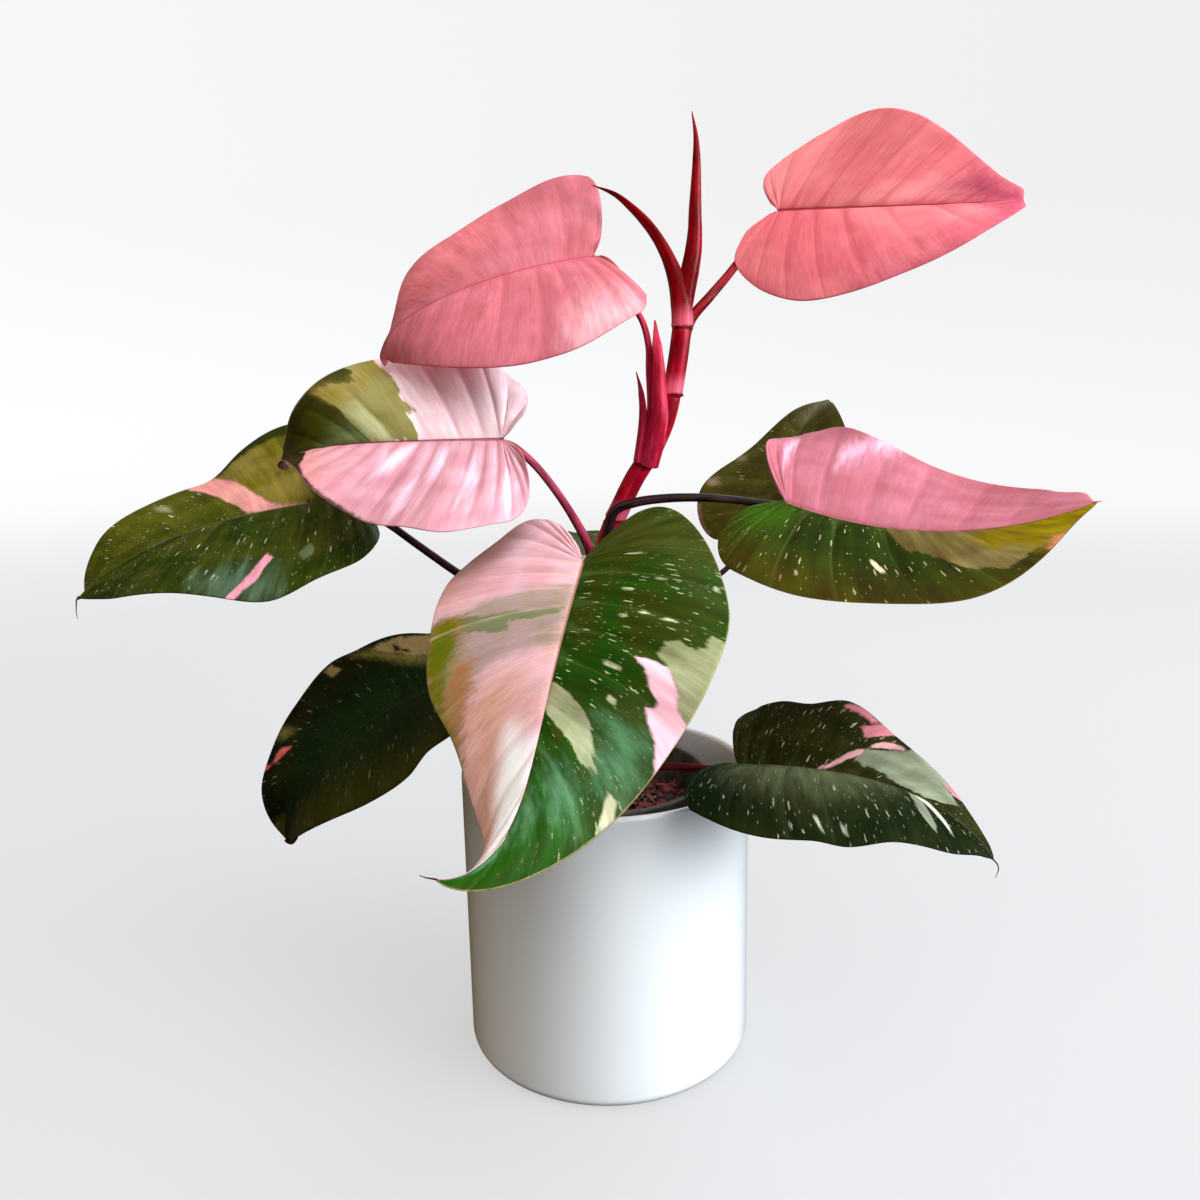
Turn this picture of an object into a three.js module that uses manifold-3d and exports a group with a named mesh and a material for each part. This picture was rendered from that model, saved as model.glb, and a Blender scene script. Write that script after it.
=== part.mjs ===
// Pink princess philodendron in its white pot.
// Millimetres, +Z up. The origin is the middle of the pot's flat underside and -Y is the front.
import * as THREE from "three";
import { mergeVertices } from "three/addons/utils/BufferGeometryUtils.js";
import Module from "manifold-3d";

// ---- Driving dimensions -------------------------------------------------------------------

const gap = 0.3; // air left between pieces that touch

const pot = {
  radius: 77.5, height: 155, wall: 4.5, floor: 7,
  footRound: 6, rimRound: 2.2, innerRound: 8, sides: 60,
};

const nurseryPot = {
  centreX: -3, baseRadius: 47, rimRadius: 60, rimHeight: 150, wall: 1.6, floor: 2,
  lipDrop: 9, lipOut: 2.4, drainHoles: 8, drainRadius: 5, drainRing: 33, sides: 44,
};

const soil = {
  top: 129, crown: 3, sides: 36, rings: 8,
  chips: 34, chipLength: 12, chipWidth: 7, chipHeight: 4.5, keepOut: 15,
};

const stem = {
  radius: 5.4, topRadius: 5.2, sides: 12, steps: 58, nodeSwell: 0.9, nodeReach: 2.4,
  nodes: [150, 172, 194, 216, 240, 264, 287, 318, 350, 383],
  path: [
    [-4, 0, 86], [-4, 0, 135], [-4, 1, 180], [-2, 1, 225], [1, 0, 262], [5, 0, 281], [11, 0, 294],
    [18, 0, 308], [27, 0, 322], [34, 0, 337], [38, 0, 352], [41, 0, 368], [43, 0, 384], [43.5, 0, 398],
  ],
};

const petioleSides = 8;
const petioleStep = 9; // length of one straight stretch of a petiole

const blade = { thickness: 0.8, rows: 18, columns: 4, firstRow: 0.1, veinBow: 0.15, midribShare: 0.4 };

// Finishes by piece: colour, roughness.
const glaze = finish("#f2f2f0", 0.22);
const blackPlastic = finish("#3b352f", 0.55);
const pottingMix = finish("#2b1712", 0.95);
const redStem = finish("#7a0a18", 0.38);
const darkRed = finish("#5c0712", 0.35);
const darkPetiole = finish("#3a0d18", 0.4);
const redPetiole = finish("#8c1a30", 0.4);
const pinkBlade = finish("#e77f8c", 0.42);
const pinkAndGreen = finish("#cf8f92", 0.4);
const darkGreen = finish("#26350f", 0.35);
const greenAndPink = finish("#5a5c34", 0.38);

// One entry for each leaf. Angles are in degrees, lengths in millimetres.
// at: where the petiole meets the blade. yaw: where the blade points, 0 to the front and 90 to +X.
// pitch: rise of the midrib. roll: turn about the midrib, which lifts the leaf's own right side.
// width, lean, fold, curl, wave: [left half, right half], seen from the petiole with the face up.
// width scales a half, lean pushes its broad part towards the tip, fold lifts it along the midrib,
// curl bends it towards its edge, and wave is [height, start] of the ripple along its edge.
// arch bends the whole midrib down and sweep bends it to the leaf's right; tipArch and tipSweep do
// so near the tip alone, closer to it with a higher tipPower. twist turns the blade along its
// length, tipFold adds to fold near the tip, lobeArch bends the lobes, lobe scales how far back
// they reach.
const leaves = [
  {
    name: "top_right", material: pinkBlade, at: [93, 12, 440], yaw: 51, pitch: -5, roll: -65,
    length: 120, width: [1.03, 0.97], lean: [0.4, 0.1], lobe: 0.9, lobeArch: 6,
    arch: 20, tipArch: 30, sweep: -10, tipSweep: -18, tipPower: 2, twist: -10, tipFold: 5,
    fold: [6, 8], curl: [-17, -22], wave: [[1.8, 0.59], [1.1, 0.56]],
    petiole: {
      material: redStem, radii: [3.4, 2.3, 2.2],
      path: [[43, 1, 377], [48, 3, 388], [57, 6, 398], [67, 14, 409], [77, 21, 421], [87, 22, 433]],
    },
  },
  {
    name: "top_left", material: pinkBlade, at: [-1, -9.5, 417], yaw: -66, pitch: -8, roll: 40,
    length: 132, width: [1.15, 1.03], lean: [0, -0.33], lobe: 0.43, lobeArch: 9,
    arch: 42, tipArch: 63, sweep: 13, tipSweep: -7, tipPower: 4, twist: 10, tipFold: -45,
    fold: [13, 14], curl: [-18, -10], wave: [[3.2, 0.99], [4.7, 0.98]],
    petiole: {
      material: redStem, radii: [3.6, 1.8, 1.5],
      path: [
        [27, -1, 316], [27, -6.5, 331], [27.5, -7, 346], [26.5, -7, 362], [26, -6, 375], [22.5, -3, 388],
        [12, 2, 402], [4, 1, 411],
      ],
    },
  },
  {
    name: "mid_left", material: pinkAndGreen, at: [-46, -36, 331], yaw: -97, pitch: 0, roll: 55,
    length: 128, width: [1.06, 1.07], lean: [0, 0.46], lobe: 0.77, lobeArch: -3,
    arch: 13, tipArch: 19, sweep: 6, tipSweep: -23, tipPower: 4, twist: 4, tipFold: 27,
    fold: [10, 9], curl: [-7, -21], wave: [[6, 0.74], [7, 0.98]],
    petiole: {
      material: redPetiole, radii: [3.2, 2.2, 2],
      path: [
        [0, 1, 252], [-3.5, -4, 264], [-6, -8, 275], [-14, -14, 292], [-23, -20, 307], [-32, -25, 319],
        [-41, -30, 327],
      ],
    },
  },
  {
    name: "far_left", material: greenAndPink, at: [-133, 5, 300], yaw: -82, pitch: -3, roll: 33,
    length: 158, width: [1.01, 1.01], lean: [0, 0.07], lobe: 0.69, lobeArch: 12,
    arch: 25, tipArch: 17, sweep: -8, tipSweep: -2, tipPower: 2, twist: 9, tipFold: -4,
    fold: [6, 7], curl: [-9, -20], wave: [[3.6, 0.1], [8.6, 0.76]],
    petiole: {
      material: darkPetiole, radii: [3.6, 2.4, 2],
      path: [
        [-4, 0, 204], [-22, 1, 222], [-51, 3, 243], [-78, 6, 261], [-96, 8, 274], [-112, 9, 286],
        [-126, 9, 295],
      ],
    },
  },
  {
    name: "low_left", material: darkGreen, at: [-79, -27, 208], yaw: -73, pitch: -14, roll: 14,
    length: 136, width: [1, 1.01], lean: [0.05, 0], lobe: 1, lobeArch: 10,
    arch: 46, tipArch: 46, sweep: -7, tipSweep: -3, tipPower: 2, twist: 36, tipFold: 7,
    fold: [11, 12], curl: [-9, -18], wave: [[3.1, 0.9], [2, 0.74]],
    petiole: {
      material: darkPetiole, radii: [3.6, 2.4, 2],
      path: [[-5, 0, 158], [-22, -6, 175], [-42, -14, 190], [-60, -21, 200], [-73, -25, 204]],
    },
  },
  {
    name: "front", material: greenAndPink, at: [-7, -81, 278], yaw: -15, pitch: -36, roll: -5,
    length: 168, width: [1.02, 1.03], lean: [0.2, -0.09], lobe: 1.1, lobeArch: 12,
    arch: 2, tipArch: -42, sweep: -7, tipSweep: 88, tipPower: 7, twist: -11, tipFold: -54,
    fold: [12, 0], curl: [-25, -13], wave: [[4.3, 0.53], [2.4, 0.58]],
    petiole: {
      material: darkPetiole, radii: [3.6, 2.5, 2],
      path: [[-2, 0, 208], [1, -12, 228], [2, -30, 251], [0, -50, 268], [-3, -67, 275], [-6, -76, 276]],
    },
  },
  {
    name: "right", material: pinkAndGreen, at: [93, -20, 297], yaw: 75, pitch: -21, roll: -41,
    length: 153, width: [1.01, 1.02], lean: [-0.13, -0.13], lobe: 0.62, lobeArch: 22,
    arch: -13, tipArch: -4, sweep: -44, tipSweep: 2, tipPower: 2, twist: -7, tipFold: -1,
    fold: [8, 13], curl: [-26, -3], wave: [[5.4, 0.57], [2.4, 0.56]],
    petiole: {
      material: darkPetiole, radii: [3.4, 2.5, 1.9],
      path: [
        [2, -2, 246], [3, -9, 262], [4, -10, 280], [8, -11, 293], [18, -12, 297], [34, -13, 299],
        [54, -14, 299], [74, -16, 297], [88, -18, 295],
      ],
    },
  },
  {
    name: "back_right", material: darkGreen, at: [96, 54, 286], yaw: 154, pitch: 42, roll: 11,
    length: 114, width: [1.03, 0.98], lean: [0, 0], lobe: 1.02, lobeArch: 10,
    arch: 16, tipArch: 7, sweep: 4, tipSweep: 2, tipPower: 2, twist: 9, tipFold: -2,
    fold: [9, 9], curl: [-13, -14], wave: [[3.4, 0.71], [2.1, 0.93]],
    petiole: {
      material: darkPetiole, radii: [3, 1.7, 1.5],
      path: [[-1, 1, 214], [18, 8, 224], [46, 24, 240], [70, 38, 254], [86, 48, 268], [93, 53, 280]],
    },
  },
  {
    name: "low_right", material: darkGreen, at: [68, -40, 167], yaw: 57, pitch: 11, roll: -8,
    length: 133, width: [1, 1.31], lean: [-0.11, 0.1], lobe: 0.39, lobeArch: 10,
    arch: 25, tipArch: 48, sweep: -8, tipSweep: 10, tipPower: 2, twist: -8, tipFold: -31,
    fold: [20, 30], curl: [-10, -48], wave: [[2.4, 0.37], [1, 0.13]],
    petiole: {
      material: redPetiole, radii: [3.2, 2.2, 2],
      path: [[-4, 0, 140], [12, -5, 150], [30, -14, 157], [47, -24, 160], [61, -34, 162]],
    },
  },
  {
    name: "back", material: darkGreen, at: [5, 30, 262], yaw: 195, pitch: 8, roll: -8,
    length: 96, width: [1, 1], lean: [0, 0], lobe: 0.8, lobeArch: 0,
    arch: 8, tipArch: 8, sweep: 0, tipSweep: 0, tipPower: 2, twist: 0, tipFold: 0,
    fold: [8, 8], curl: [-10, -10], wave: [[2, 0.3], [2, 0.8]],
    petiole: {
      material: darkPetiole, radii: [3.4, 2.2, 1.9],
      path: [[-1, 1, 228], [2, 10, 240], [4, 20, 252], [5, 27, 258]],
    },
  },
];

// Young parts at the growing tip, each a tapered body: the furled new leaf, and the red sheaths
// that earlier leaves came out of.
const shoots = [
  {
    name: "new_leaf", material: darkRed, radii: [4.8, 4.3, 3, 1.8, 0.4],
    path: [[46, 0, 398.5], [48, 0, 415], [49.5, 0, 440], [50, 0, 462], [48, 0, 484]],
  },
  {
    name: "bent_sheath", material: redStem, radii: [4.6, 4.4, 3.6, 2.6, 0.5],
    path: [[40.5, 0, 393], [36, 0, 415], [28, 0, 429], [16, 1, 442], [-1, 3, 452]],
  },
  {
    name: "upright_sheath", material: redStem, radii: [3, 2.4, 2, 1.7, 0.4],
    path: [[34, -6, 325], [33.5, -9, 340], [32, -9, 355], [31, -8, 370], [30, -7, 387]],
  },
  {
    name: "small_sheath", material: redStem, radii: [2.6, 2.3, 2, 1.4, 0.4],
    path: [[18, -3, 314], [21.5, -5, 328], [23, -4, 338], [22.5, -4, 350], [20, -4, 362]],
  },
];

// ---- Helpers ------------------------------------------------------------------------------

function finish(color, roughness) {
  return new THREE.MeshStandardMaterial({ color, roughness, metalness: 0 });
}

const radians = THREE.MathUtils.degToRad;
const toVector = (xyz) => new THREE.Vector3(...xyz);

function closedGeometry(points, triangles) {
  const geometry = new THREE.BufferGeometry();
  geometry.setAttribute("position", new THREE.Float32BufferAttribute(points.flatMap((p) => p.toArray()), 3));
  geometry.setIndex(triangles.flat());
  return geometry;
}

function named(name, geometry, material) {
  const mesh = new THREE.Mesh(geometry, material);
  mesh.name = name;
  return mesh;
}

// A repeatable stream of numbers from 0 to 1.
function drawFrom(seed) {
  let state = seed;
  return () => {
    state = (state * 1664525 + 1013904223) % 4294967296;
    return state / 4294967296;
  };
}

// ---- Joining and cutting ------------------------------------------------------------------

const wasm = await Module();
wasm.setup();

function toSolid(geometry) {
  const bare = geometry.clone();
  bare.deleteAttribute("normal");
  bare.deleteAttribute("uv");
  const merged = mergeVertices(bare, 1e-4);
  return new wasm.Manifold(new wasm.Mesh({
    numProp: 3,
    vertProperties: new Float32Array(merged.attributes.position.array),
    triVerts: new Uint32Array(merged.index.array),
  }));
}

function fromSolid(solid) {
  const mesh = solid.getMesh();
  const geometry = new THREE.BufferGeometry();
  geometry.setAttribute("position", new THREE.BufferAttribute(new Float32Array(mesh.vertProperties), 3));
  geometry.setIndex(new THREE.BufferAttribute(new Uint32Array(mesh.triVerts), 1));
  return geometry;
}

// What is left of a body once the cutters are taken away: its largest piece, with no loose scraps.
function carve(geometry, ...cutters) {
  let solid = toSolid(geometry);
  for (const cutter of cutters) solid = solid.subtract(toSolid(cutter));
  const pieces = solid.decompose();
  pieces.sort((one, other) => other.volume() - one.volume());
  return fromSolid(pieces[0]);
}

// ---- Round bodies -------------------------------------------------------------------------

// A body turned about +Z from [radius, height] points.
function turned(profile, sides, centreX = 0) {
  const points = profile.map(([radius, height]) => new THREE.Vector2(radius, height));
  const geometry = new THREE.LatheGeometry(points, sides);
  geometry.rotateX(Math.PI / 2);
  geometry.translate(centreX, 0, 0);
  return geometry;
}

// Points of a quarter or half round in a turned profile.
function roundCorner([x, z], radius, fromDegrees, toDegrees, steps) {
  return Array.from({ length: steps + 1 }, (_, i) => {
    const angle = radians(THREE.MathUtils.lerp(fromDegrees, toDegrees, i / steps));
    return [x + radius * Math.cos(angle), z + radius * Math.sin(angle)];
  });
}

// A tapered tube along a smooth path, closed at both ends. grow is added to its radius all along.
function taperedTube(path, radiusAt, steps, sides, grow = 0) {
  const curve = new THREE.CatmullRomCurve3(path.map(toVector), false, "centripetal");
  const { normals, binormals } = curve.computeFrenetFrames(steps, false);
  const points = [];
  const triangles = [];
  for (let i = 0; i <= steps; i++) {
    const centre = curve.getPointAt(i / steps);
    const radius = radiusAt(i / steps, centre) + grow;
    for (let k = 0; k < sides; k++) {
      const turn = (k / sides) * Math.PI * 2;
      points.push(centre.clone()
        .addScaledVector(normals[i], radius * Math.cos(turn))
        .addScaledVector(binormals[i], radius * Math.sin(turn)));
    }
  }
  for (let i = 0; i < steps; i++) {
    for (let k = 0; k < sides; k++) {
      const next = (k + 1) % sides;
      const [a, b, c, d] = [i * sides + k, i * sides + next, (i + 1) * sides + next, (i + 1) * sides + k];
      triangles.push([a, b, c], [a, c, d]);
    }
  }
  for (const [ring, outward] of [[0, -1], [steps, 1]]) {
    const centre = points.push(curve.getPointAt(ring / steps)) - 1;
    for (let k = 0; k < sides; k++) {
      const edge = [ring * sides + k, ring * sides + ((k + 1) % sides)];
      triangles.push(outward > 0 ? [centre, ...edge] : [centre, ...edge.reverse()]);
    }
  }
  return closedGeometry(points, triangles);
}

// Radius along a tube, drawn evenly through a short list of radii.
function radiusThrough(radii) {
  return (share) => {
    const place = share * (radii.length - 1);
    const i = Math.min(Math.floor(place), radii.length - 2);
    return THREE.MathUtils.lerp(radii[i], radii[i + 1], place - i);
  };
}

// ---- Pot and nursery pot ------------------------------------------------------------------

function potGeometry() {
  const { radius, height, wall, floor, footRound, rimRound, innerRound, sides } = pot;
  const inner = radius - wall;
  return turned([
    [0, 0],
    ...roundCorner([radius - footRound, footRound], footRound, -90, 0, 4),
    ...roundCorner([radius - rimRound, height - rimRound], rimRound, 0, 90, 3),
    ...roundCorner([inner + rimRound, height - rimRound], rimRound, 90, 180, 3),
    ...roundCorner([inner - innerRound, floor + innerRound], innerRound, 0, -90, 3),
    [0, floor],
  ], sides);
}

// Radius of the nursery pot's outer wall at a height.
function nurseryRadius(height) {
  const { baseRadius, rimRadius, rimHeight, lipOut } = nurseryPot;
  const share = (height - pot.floor - gap) / (rimHeight - pot.floor - gap);
  return THREE.MathUtils.lerp(baseRadius, rimRadius - lipOut, share);
}

function nurseryPotGeometry() {
  const { centreX, rimRadius, rimHeight, wall, floor, lipDrop, sides } = nurseryPot;
  const base = pot.floor + gap;
  const shell = turned([
    [0, base],
    [nurseryRadius(base), base],
    [nurseryRadius(rimHeight - lipDrop), rimHeight - lipDrop],
    [rimRadius, rimHeight - lipDrop],
    [rimRadius, rimHeight - 0.6],
    [rimRadius - 0.6, rimHeight],
    [nurseryRadius(rimHeight) - wall + 0.4, rimHeight],
    [nurseryRadius(rimHeight) - wall, rimHeight - 0.6],
    [nurseryRadius(base + floor) - wall, base + floor],
    [0, base + floor],
  ], sides, centreX);
  const drains = Array.from({ length: nurseryPot.drainHoles }, (_, i) => {
    const turn = (i / nurseryPot.drainHoles) * Math.PI * 2;
    const hole = new THREE.CylinderGeometry(nurseryPot.drainRadius, nurseryPot.drainRadius, 4 * floor, 16);
    hole.rotateX(Math.PI / 2);
    hole.translate(
      centreX + nurseryPot.drainRing * Math.cos(turn), nurseryPot.drainRing * Math.sin(turn), base + floor / 2,
    );
    return hole;
  });
  return carve(shell, ...drains);
}

// ---- Soil ---------------------------------------------------------------------------------

// Height of the soil at a share of its radius and a direction: a low crown with soft lumps.
function soilHeight(share, turn) {
  const lumps = 1.1 * Math.sin(5 * turn + 7 * share) + 0.8 * Math.sin(9 * turn - 11 * share)
    + 0.6 * Math.sin(14 * turn + 17 * share);
  return soil.top + soil.crown * (1 - share * share) + lumps * Math.sin(Math.PI * Math.min(share, 0.92));
}

function soilBody() {
  const { sides, rings } = soil;
  const bottom = pot.floor + gap + nurseryPot.floor + gap;
  const radiusAt = (height) => nurseryRadius(height) - nurseryPot.wall - gap;
  const ringPoint = (radius, turn, height) =>
    new THREE.Vector3(nurseryPot.centreX + radius * Math.cos(turn), radius * Math.sin(turn), height);
  const points = [ringPoint(0, 0, soilHeight(0, 0))];
  const triangles = [];
  for (let ring = 1; ring <= rings; ring++) {
    for (let k = 0; k < sides; k++) {
      const turn = (k / sides) * Math.PI * 2;
      const height = soilHeight(ring / rings, turn);
      points.push(ringPoint((radiusAt(soil.top - 2) * ring) / rings, turn, height));
    }
  }
  for (let k = 0; k < sides; k++) {
    points.push(ringPoint(radiusAt(bottom), (k / sides) * Math.PI * 2, bottom));
  }
  const foot = points.push(ringPoint(0, 0, bottom)) - 1;
  for (let k = 0; k < sides; k++) {
    const next = (k + 1) % sides;
    triangles.push([0, 1 + k, 1 + next]);
    for (let ring = 0; ring < rings; ring++) {
      const [a, b] = [1 + ring * sides + k, 1 + ring * sides + next];
      triangles.push([a, a + sides, b + sides], [a, b + sides, b]);
    }
    triangles.push([foot, 1 + rings * sides + next, 1 + rings * sides + k]);
  }
  return closedGeometry(points, triangles);
}

// Bark chips lie scattered over the soil, turned and sunk by about a third.
function barkChips() {
  const draw = drawFrom(7);
  const reach = nurseryRadius(soil.top) - nurseryPot.wall - soil.chipLength;
  return Array.from({ length: soil.chips }, () => {
    const share = Math.sqrt(draw());
    const turn = draw() * Math.PI * 2;
    const size = 0.65 + 0.6 * draw();
    const chip = new THREE.IcosahedronGeometry(0.5, 0);
    chip.scale(soil.chipLength * size, soil.chipWidth * size, soil.chipHeight * size);
    chip.rotateX(0.5 * (draw() - 0.5));
    chip.rotateZ(draw() * Math.PI);
    const radius = Math.max(share * reach, soil.keepOut);
    chip.translate(
      nurseryPot.centreX + radius * Math.cos(turn), radius * Math.sin(turn),
      soilHeight(radius / nurseryRadius(soil.top), turn) + 0.4,
    );
    return chip;
  });
}

function soilGeometry(...holes) {
  let solid = toSolid(soilBody());
  for (const chip of barkChips()) solid = solid.add(toSolid(chip));
  return carve(fromSolid(solid), ...holes);
}

// ---- Stem ---------------------------------------------------------------------------------

function stemRadius(share, centre) {
  const swell = stem.nodes
    .map((height) => Math.exp(-(((centre.z - height) / stem.nodeReach) ** 2)))
    .reduce((sum, value) => sum + value, 0);
  return THREE.MathUtils.lerp(stem.radius, stem.topRadius, share) + stem.nodeSwell * swell;
}

const stemGeometry = (grow = 0) => taperedTube(stem.path, stemRadius, stem.steps, stem.sides, grow);

// ---- Blades -------------------------------------------------------------------------------

// Edge of half a heart-shaped blade as [along, out] shares of its length: from the petiole round
// the lobe behind it and on to the drawn-out tip.
const halfOutline = new THREE.CatmullRomCurve3([
  [0, 0], [-0.06, 0.03], [-0.15, 0.12], [-0.17, 0.24], [-0.06, 0.36], [0.14, 0.41],
  [0.36, 0.37], [0.58, 0.27], [0.78, 0.15], [0.92, 0.05], [1, 0],
].map(([along, out]) => new THREE.Vector3(along, out, 0)), false, "catmullrom", 0.5);
const broadest = 0.41;
const lobeReach = 0.25;

// The midrib's places and directions, by share of the blade's length, from behind the petiole
// to the tip.
function midribFrames(leaf) {
  const [yaw, pitch] = [radians(leaf.yaw), radians(leaf.pitch)];
  const along = new THREE.Vector3(
    Math.cos(pitch) * Math.sin(yaw), -Math.cos(pitch) * Math.cos(yaw), Math.sin(pitch),
  );
  const up = new THREE.Vector3(
    -Math.sin(pitch) * Math.sin(yaw), Math.sin(pitch) * Math.cos(yaw), Math.cos(pitch),
  ).applyAxisAngle(along, -radians(leaf.roll));

  const walk = (steps, step, bendAt) => {
    const frames = [{ share: 0, at: toVector(leaf.at), along, up, side: along.clone().cross(up) }];
    for (let i = 0; i < steps; i++) {
      const last = frames[i];
      const bend = bendAt(Math.abs((i + 0.5) * step));
      const next = last.along.clone()
        .addScaledVector(last.up, -radians(bend.down) * step)
        .addScaledVector(last.side, radians(bend.right) * step)
        .normalize();
      const side = last.side.clone().addScaledVector(next, -next.dot(last.side)).normalize();
      const middle = last.along.clone().add(next).normalize();
      const turnedUp = side.clone().cross(next).applyAxisAngle(next, -radians(bend.twist) * Math.abs(step));
      frames.push({
        share: (i + 1) * step,
        at: last.at.clone().addScaledVector(middle, step * leaf.length),
        along: next,
        up: turnedUp,
        side: next.clone().cross(turnedUp),
      });
    }
    return frames;
  };

  const tipShare = (share) => (leaf.tipPower + 1) * share ** leaf.tipPower;
  const forward = walk(40, 1 / 40, (share) => ({
    down: leaf.arch + leaf.tipArch * tipShare(share),
    right: leaf.sweep + leaf.tipSweep * tipShare(share),
    twist: leaf.twist,
  }));
  const backward = walk(8, -lobeReach / 8, () => ({ down: leaf.lobeArch / 0.2, right: 0, twist: 0 }));
  return [...backward.slice(1).reverse(), ...forward];
}

function frameAt(frames, share) {
  let i = frames.findIndex((frame) => frame.share > share);
  if (i < 0) i = frames.length - 1;
  i = Math.max(i, 1);
  const [before, after] = [frames[i - 1], frames[i]];
  const t = THREE.MathUtils.clamp((share - before.share) / (after.share - before.share), 0, 1);
  return {
    at: before.at.clone().lerp(after.at, t),
    side: before.side.clone().lerp(after.side, t),
    up: before.up.clone().lerp(after.up, t),
  };
}

// A point of the blade: row runs from 0 at the notch to 1 at the tip, out from 0 on the midrib
// to 1 at the edge, and half is 0 for the leaf's left and 1 for its right.
function bladePoint(leaf, frames, row, out, half) {
  const edge = halfOutline.getPoint(row);
  const edgeOut = edge.y * leaf.width[half];
  const edgeAlong = (edge.x < 0 ? edge.x * leaf.lobe : edge.x)
    + leaf.lean[half] * edgeOut * Math.sin(Math.PI * row);
  const start = Math.max((row - blade.midribShare) / (1 - blade.midribShare), 0) ** 1.3;
  const veinLength = Math.hypot(edgeAlong - start, edgeOut);
  const along = start + (edgeAlong - start) * out - blade.veinBow * out * (1 - out) * veinLength;
  const reach = edgeOut * out * leaf.length;

  const frame = frameAt(frames, along);
  const tip = THREE.MathUtils.clamp(along, 0, 1);
  const fold = radians(leaf.fold[half] + leaf.tipFold * tip * tip);
  const bend = radians(leaf.curl[half]) / (broadest * leaf.length * leaf.width[half]);
  const lean = fold + bend * reach;
  const sideways = (Math.sin(lean) - Math.sin(fold)) / bend;
  const lift = (Math.cos(fold) - Math.cos(lean)) / bend;
  const [height, start0] = leaf.wave[half];
  const ripple = height * out * out * Math.sin(2 * Math.PI * (3 * row + start0)) * Math.sqrt(Math.sin(Math.PI * row));

  const outward = frame.side.multiplyScalar(half === 1 ? 1 : -1);
  return frame.at
    .addScaledVector(outward, sideways - ripple * Math.sin(lean))
    .addScaledVector(frame.up, lift + ripple * Math.cos(lean));
}

// The blade as a thin closed body: one net of triangles for both faces, and a wall at its edge.
function bladeGeometry(leaf) {
  const frames = midribFrames(leaf);
  const { rows, columns, firstRow, thickness, midribShare } = blade;
  const middle = [];
  const net = [];
  const tip = middle.push(bladePoint(leaf, frames, 1, 0, 0)) - 1;
  const root = middle.push(toVector(leaf.at)) - 1;
  const rowValues = Array.from({ length: rows }, (_, i) => firstRow + ((1 - firstRow) * i) / rows);
  const midrib = rowValues.map((row) =>
    row <= midribShare + 1e-9 ? root : middle.push(bladePoint(leaf, frames, row, 0, 0)) - 1);

  for (const half of [0, 1]) {
    const lay = (...corners) => {
      if (new Set(corners).size === 3) net.push(half === 1 ? corners : corners.reverse());
    };
    const grid = rowValues.map((row, i) => Array.from({ length: columns + 1 }, (_, j) =>
      j === 0 ? midrib[i] : middle.push(bladePoint(leaf, frames, row, j / columns, half)) - 1));
    for (let i = 0; i < rows; i++) {
      const next = grid[i + 1] ?? Array(columns + 1).fill(tip);
      for (let j = 0; j < columns; j++) {
        lay(grid[i][j], grid[i][j + 1], next[j + 1]);
        lay(grid[i][j], next[j + 1], next[j]);
      }
    }
  }
  return thicken(middle, net, thickness);
}

function thicken(middle, net, thickness) {
  const normals = middle.map(() => new THREE.Vector3());
  for (const [a, b, c] of net) {
    const normal = middle[b].clone().sub(middle[a]).cross(middle[c].clone().sub(middle[a]));
    for (const i of [a, b, c]) normals[i].add(normal);
  }
  const shifted = (distance) => middle.map((p, i) => p.clone().addScaledVector(normals[i].clone().normalize(), distance));
  const count = middle.length;
  const triangles = [...net, ...net.map(([a, b, c]) => [c + count, b + count, a + count])];
  const edges = new Map();
  for (const [a, b, c] of net) {
    for (const [from, to] of [[a, b], [b, c], [c, a]]) {
      if (!edges.delete(`${to} ${from}`)) edges.set(`${from} ${to}`, [from, to]);
    }
  }
  for (const [from, to] of edges.values()) {
    triangles.push([to, from, from + count], [to, from + count, to + count]);
  }
  return closedGeometry([...shifted(thickness / 2), ...shifted(-thickness / 2)], triangles);
}

// The petiole ends just under the blade, on the line of the midrib.
function petioleGeometry(leaf) {
  const { path, radii } = leaf.petiole;
  const root = midribFrames(leaf).find((frame) => frame.share === 0);
  const end = root.at.clone()
    .addScaledVector(root.up, -(radii.at(-1) + blade.thickness / 2 + 2 * gap))
    .addScaledVector(root.along, radii.at(-1));
  const points = [...path, end.toArray()];
  const length = new THREE.CatmullRomCurve3(points.map(toVector), false, "centripetal").getLength();
  const steps = Math.round(length / petioleStep);
  return taperedTube(points, radiusThrough(radii), steps, petioleSides);
}

// ---- Assembly -----------------------------------------------------------------------------

const plant = new THREE.Group();
const stemRoom = stemGeometry(gap);

plant.add(named("pot", potGeometry(), glaze));
plant.add(named("nursery_pot", nurseryPotGeometry(), blackPlastic));
plant.add(named("soil", soilGeometry(stemRoom), pottingMix));
plant.add(named("stem", stemGeometry(), redStem));

for (const leaf of leaves) {
  plant.add(named(`leaf_${leaf.name}`, bladeGeometry(leaf), leaf.material));
  plant.add(named(`petiole_${leaf.name}`, carve(petioleGeometry(leaf), stemRoom), leaf.petiole.material));
}

const shootSteps = 12;
const shootTube = (shoot, grow = 0) =>
  taperedTube(shoot.path, radiusThrough(shoot.radii), shootSteps, petioleSides, grow);
const newLeafRoom = shootTube(shoots[0], gap);
for (const shoot of shoots) {
  const cutters = shoot === shoots[0] ? [stemRoom] : [stemRoom, newLeafRoom];
  plant.add(named(shoot.name, carve(shootTube(shoot), ...cutters), shoot.material));
}

export default plant;
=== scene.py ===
from math import cos, pi, radians, sin

import bmesh
import bpy
import numpy as np
from mathutils import Matrix, Vector, noise


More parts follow.
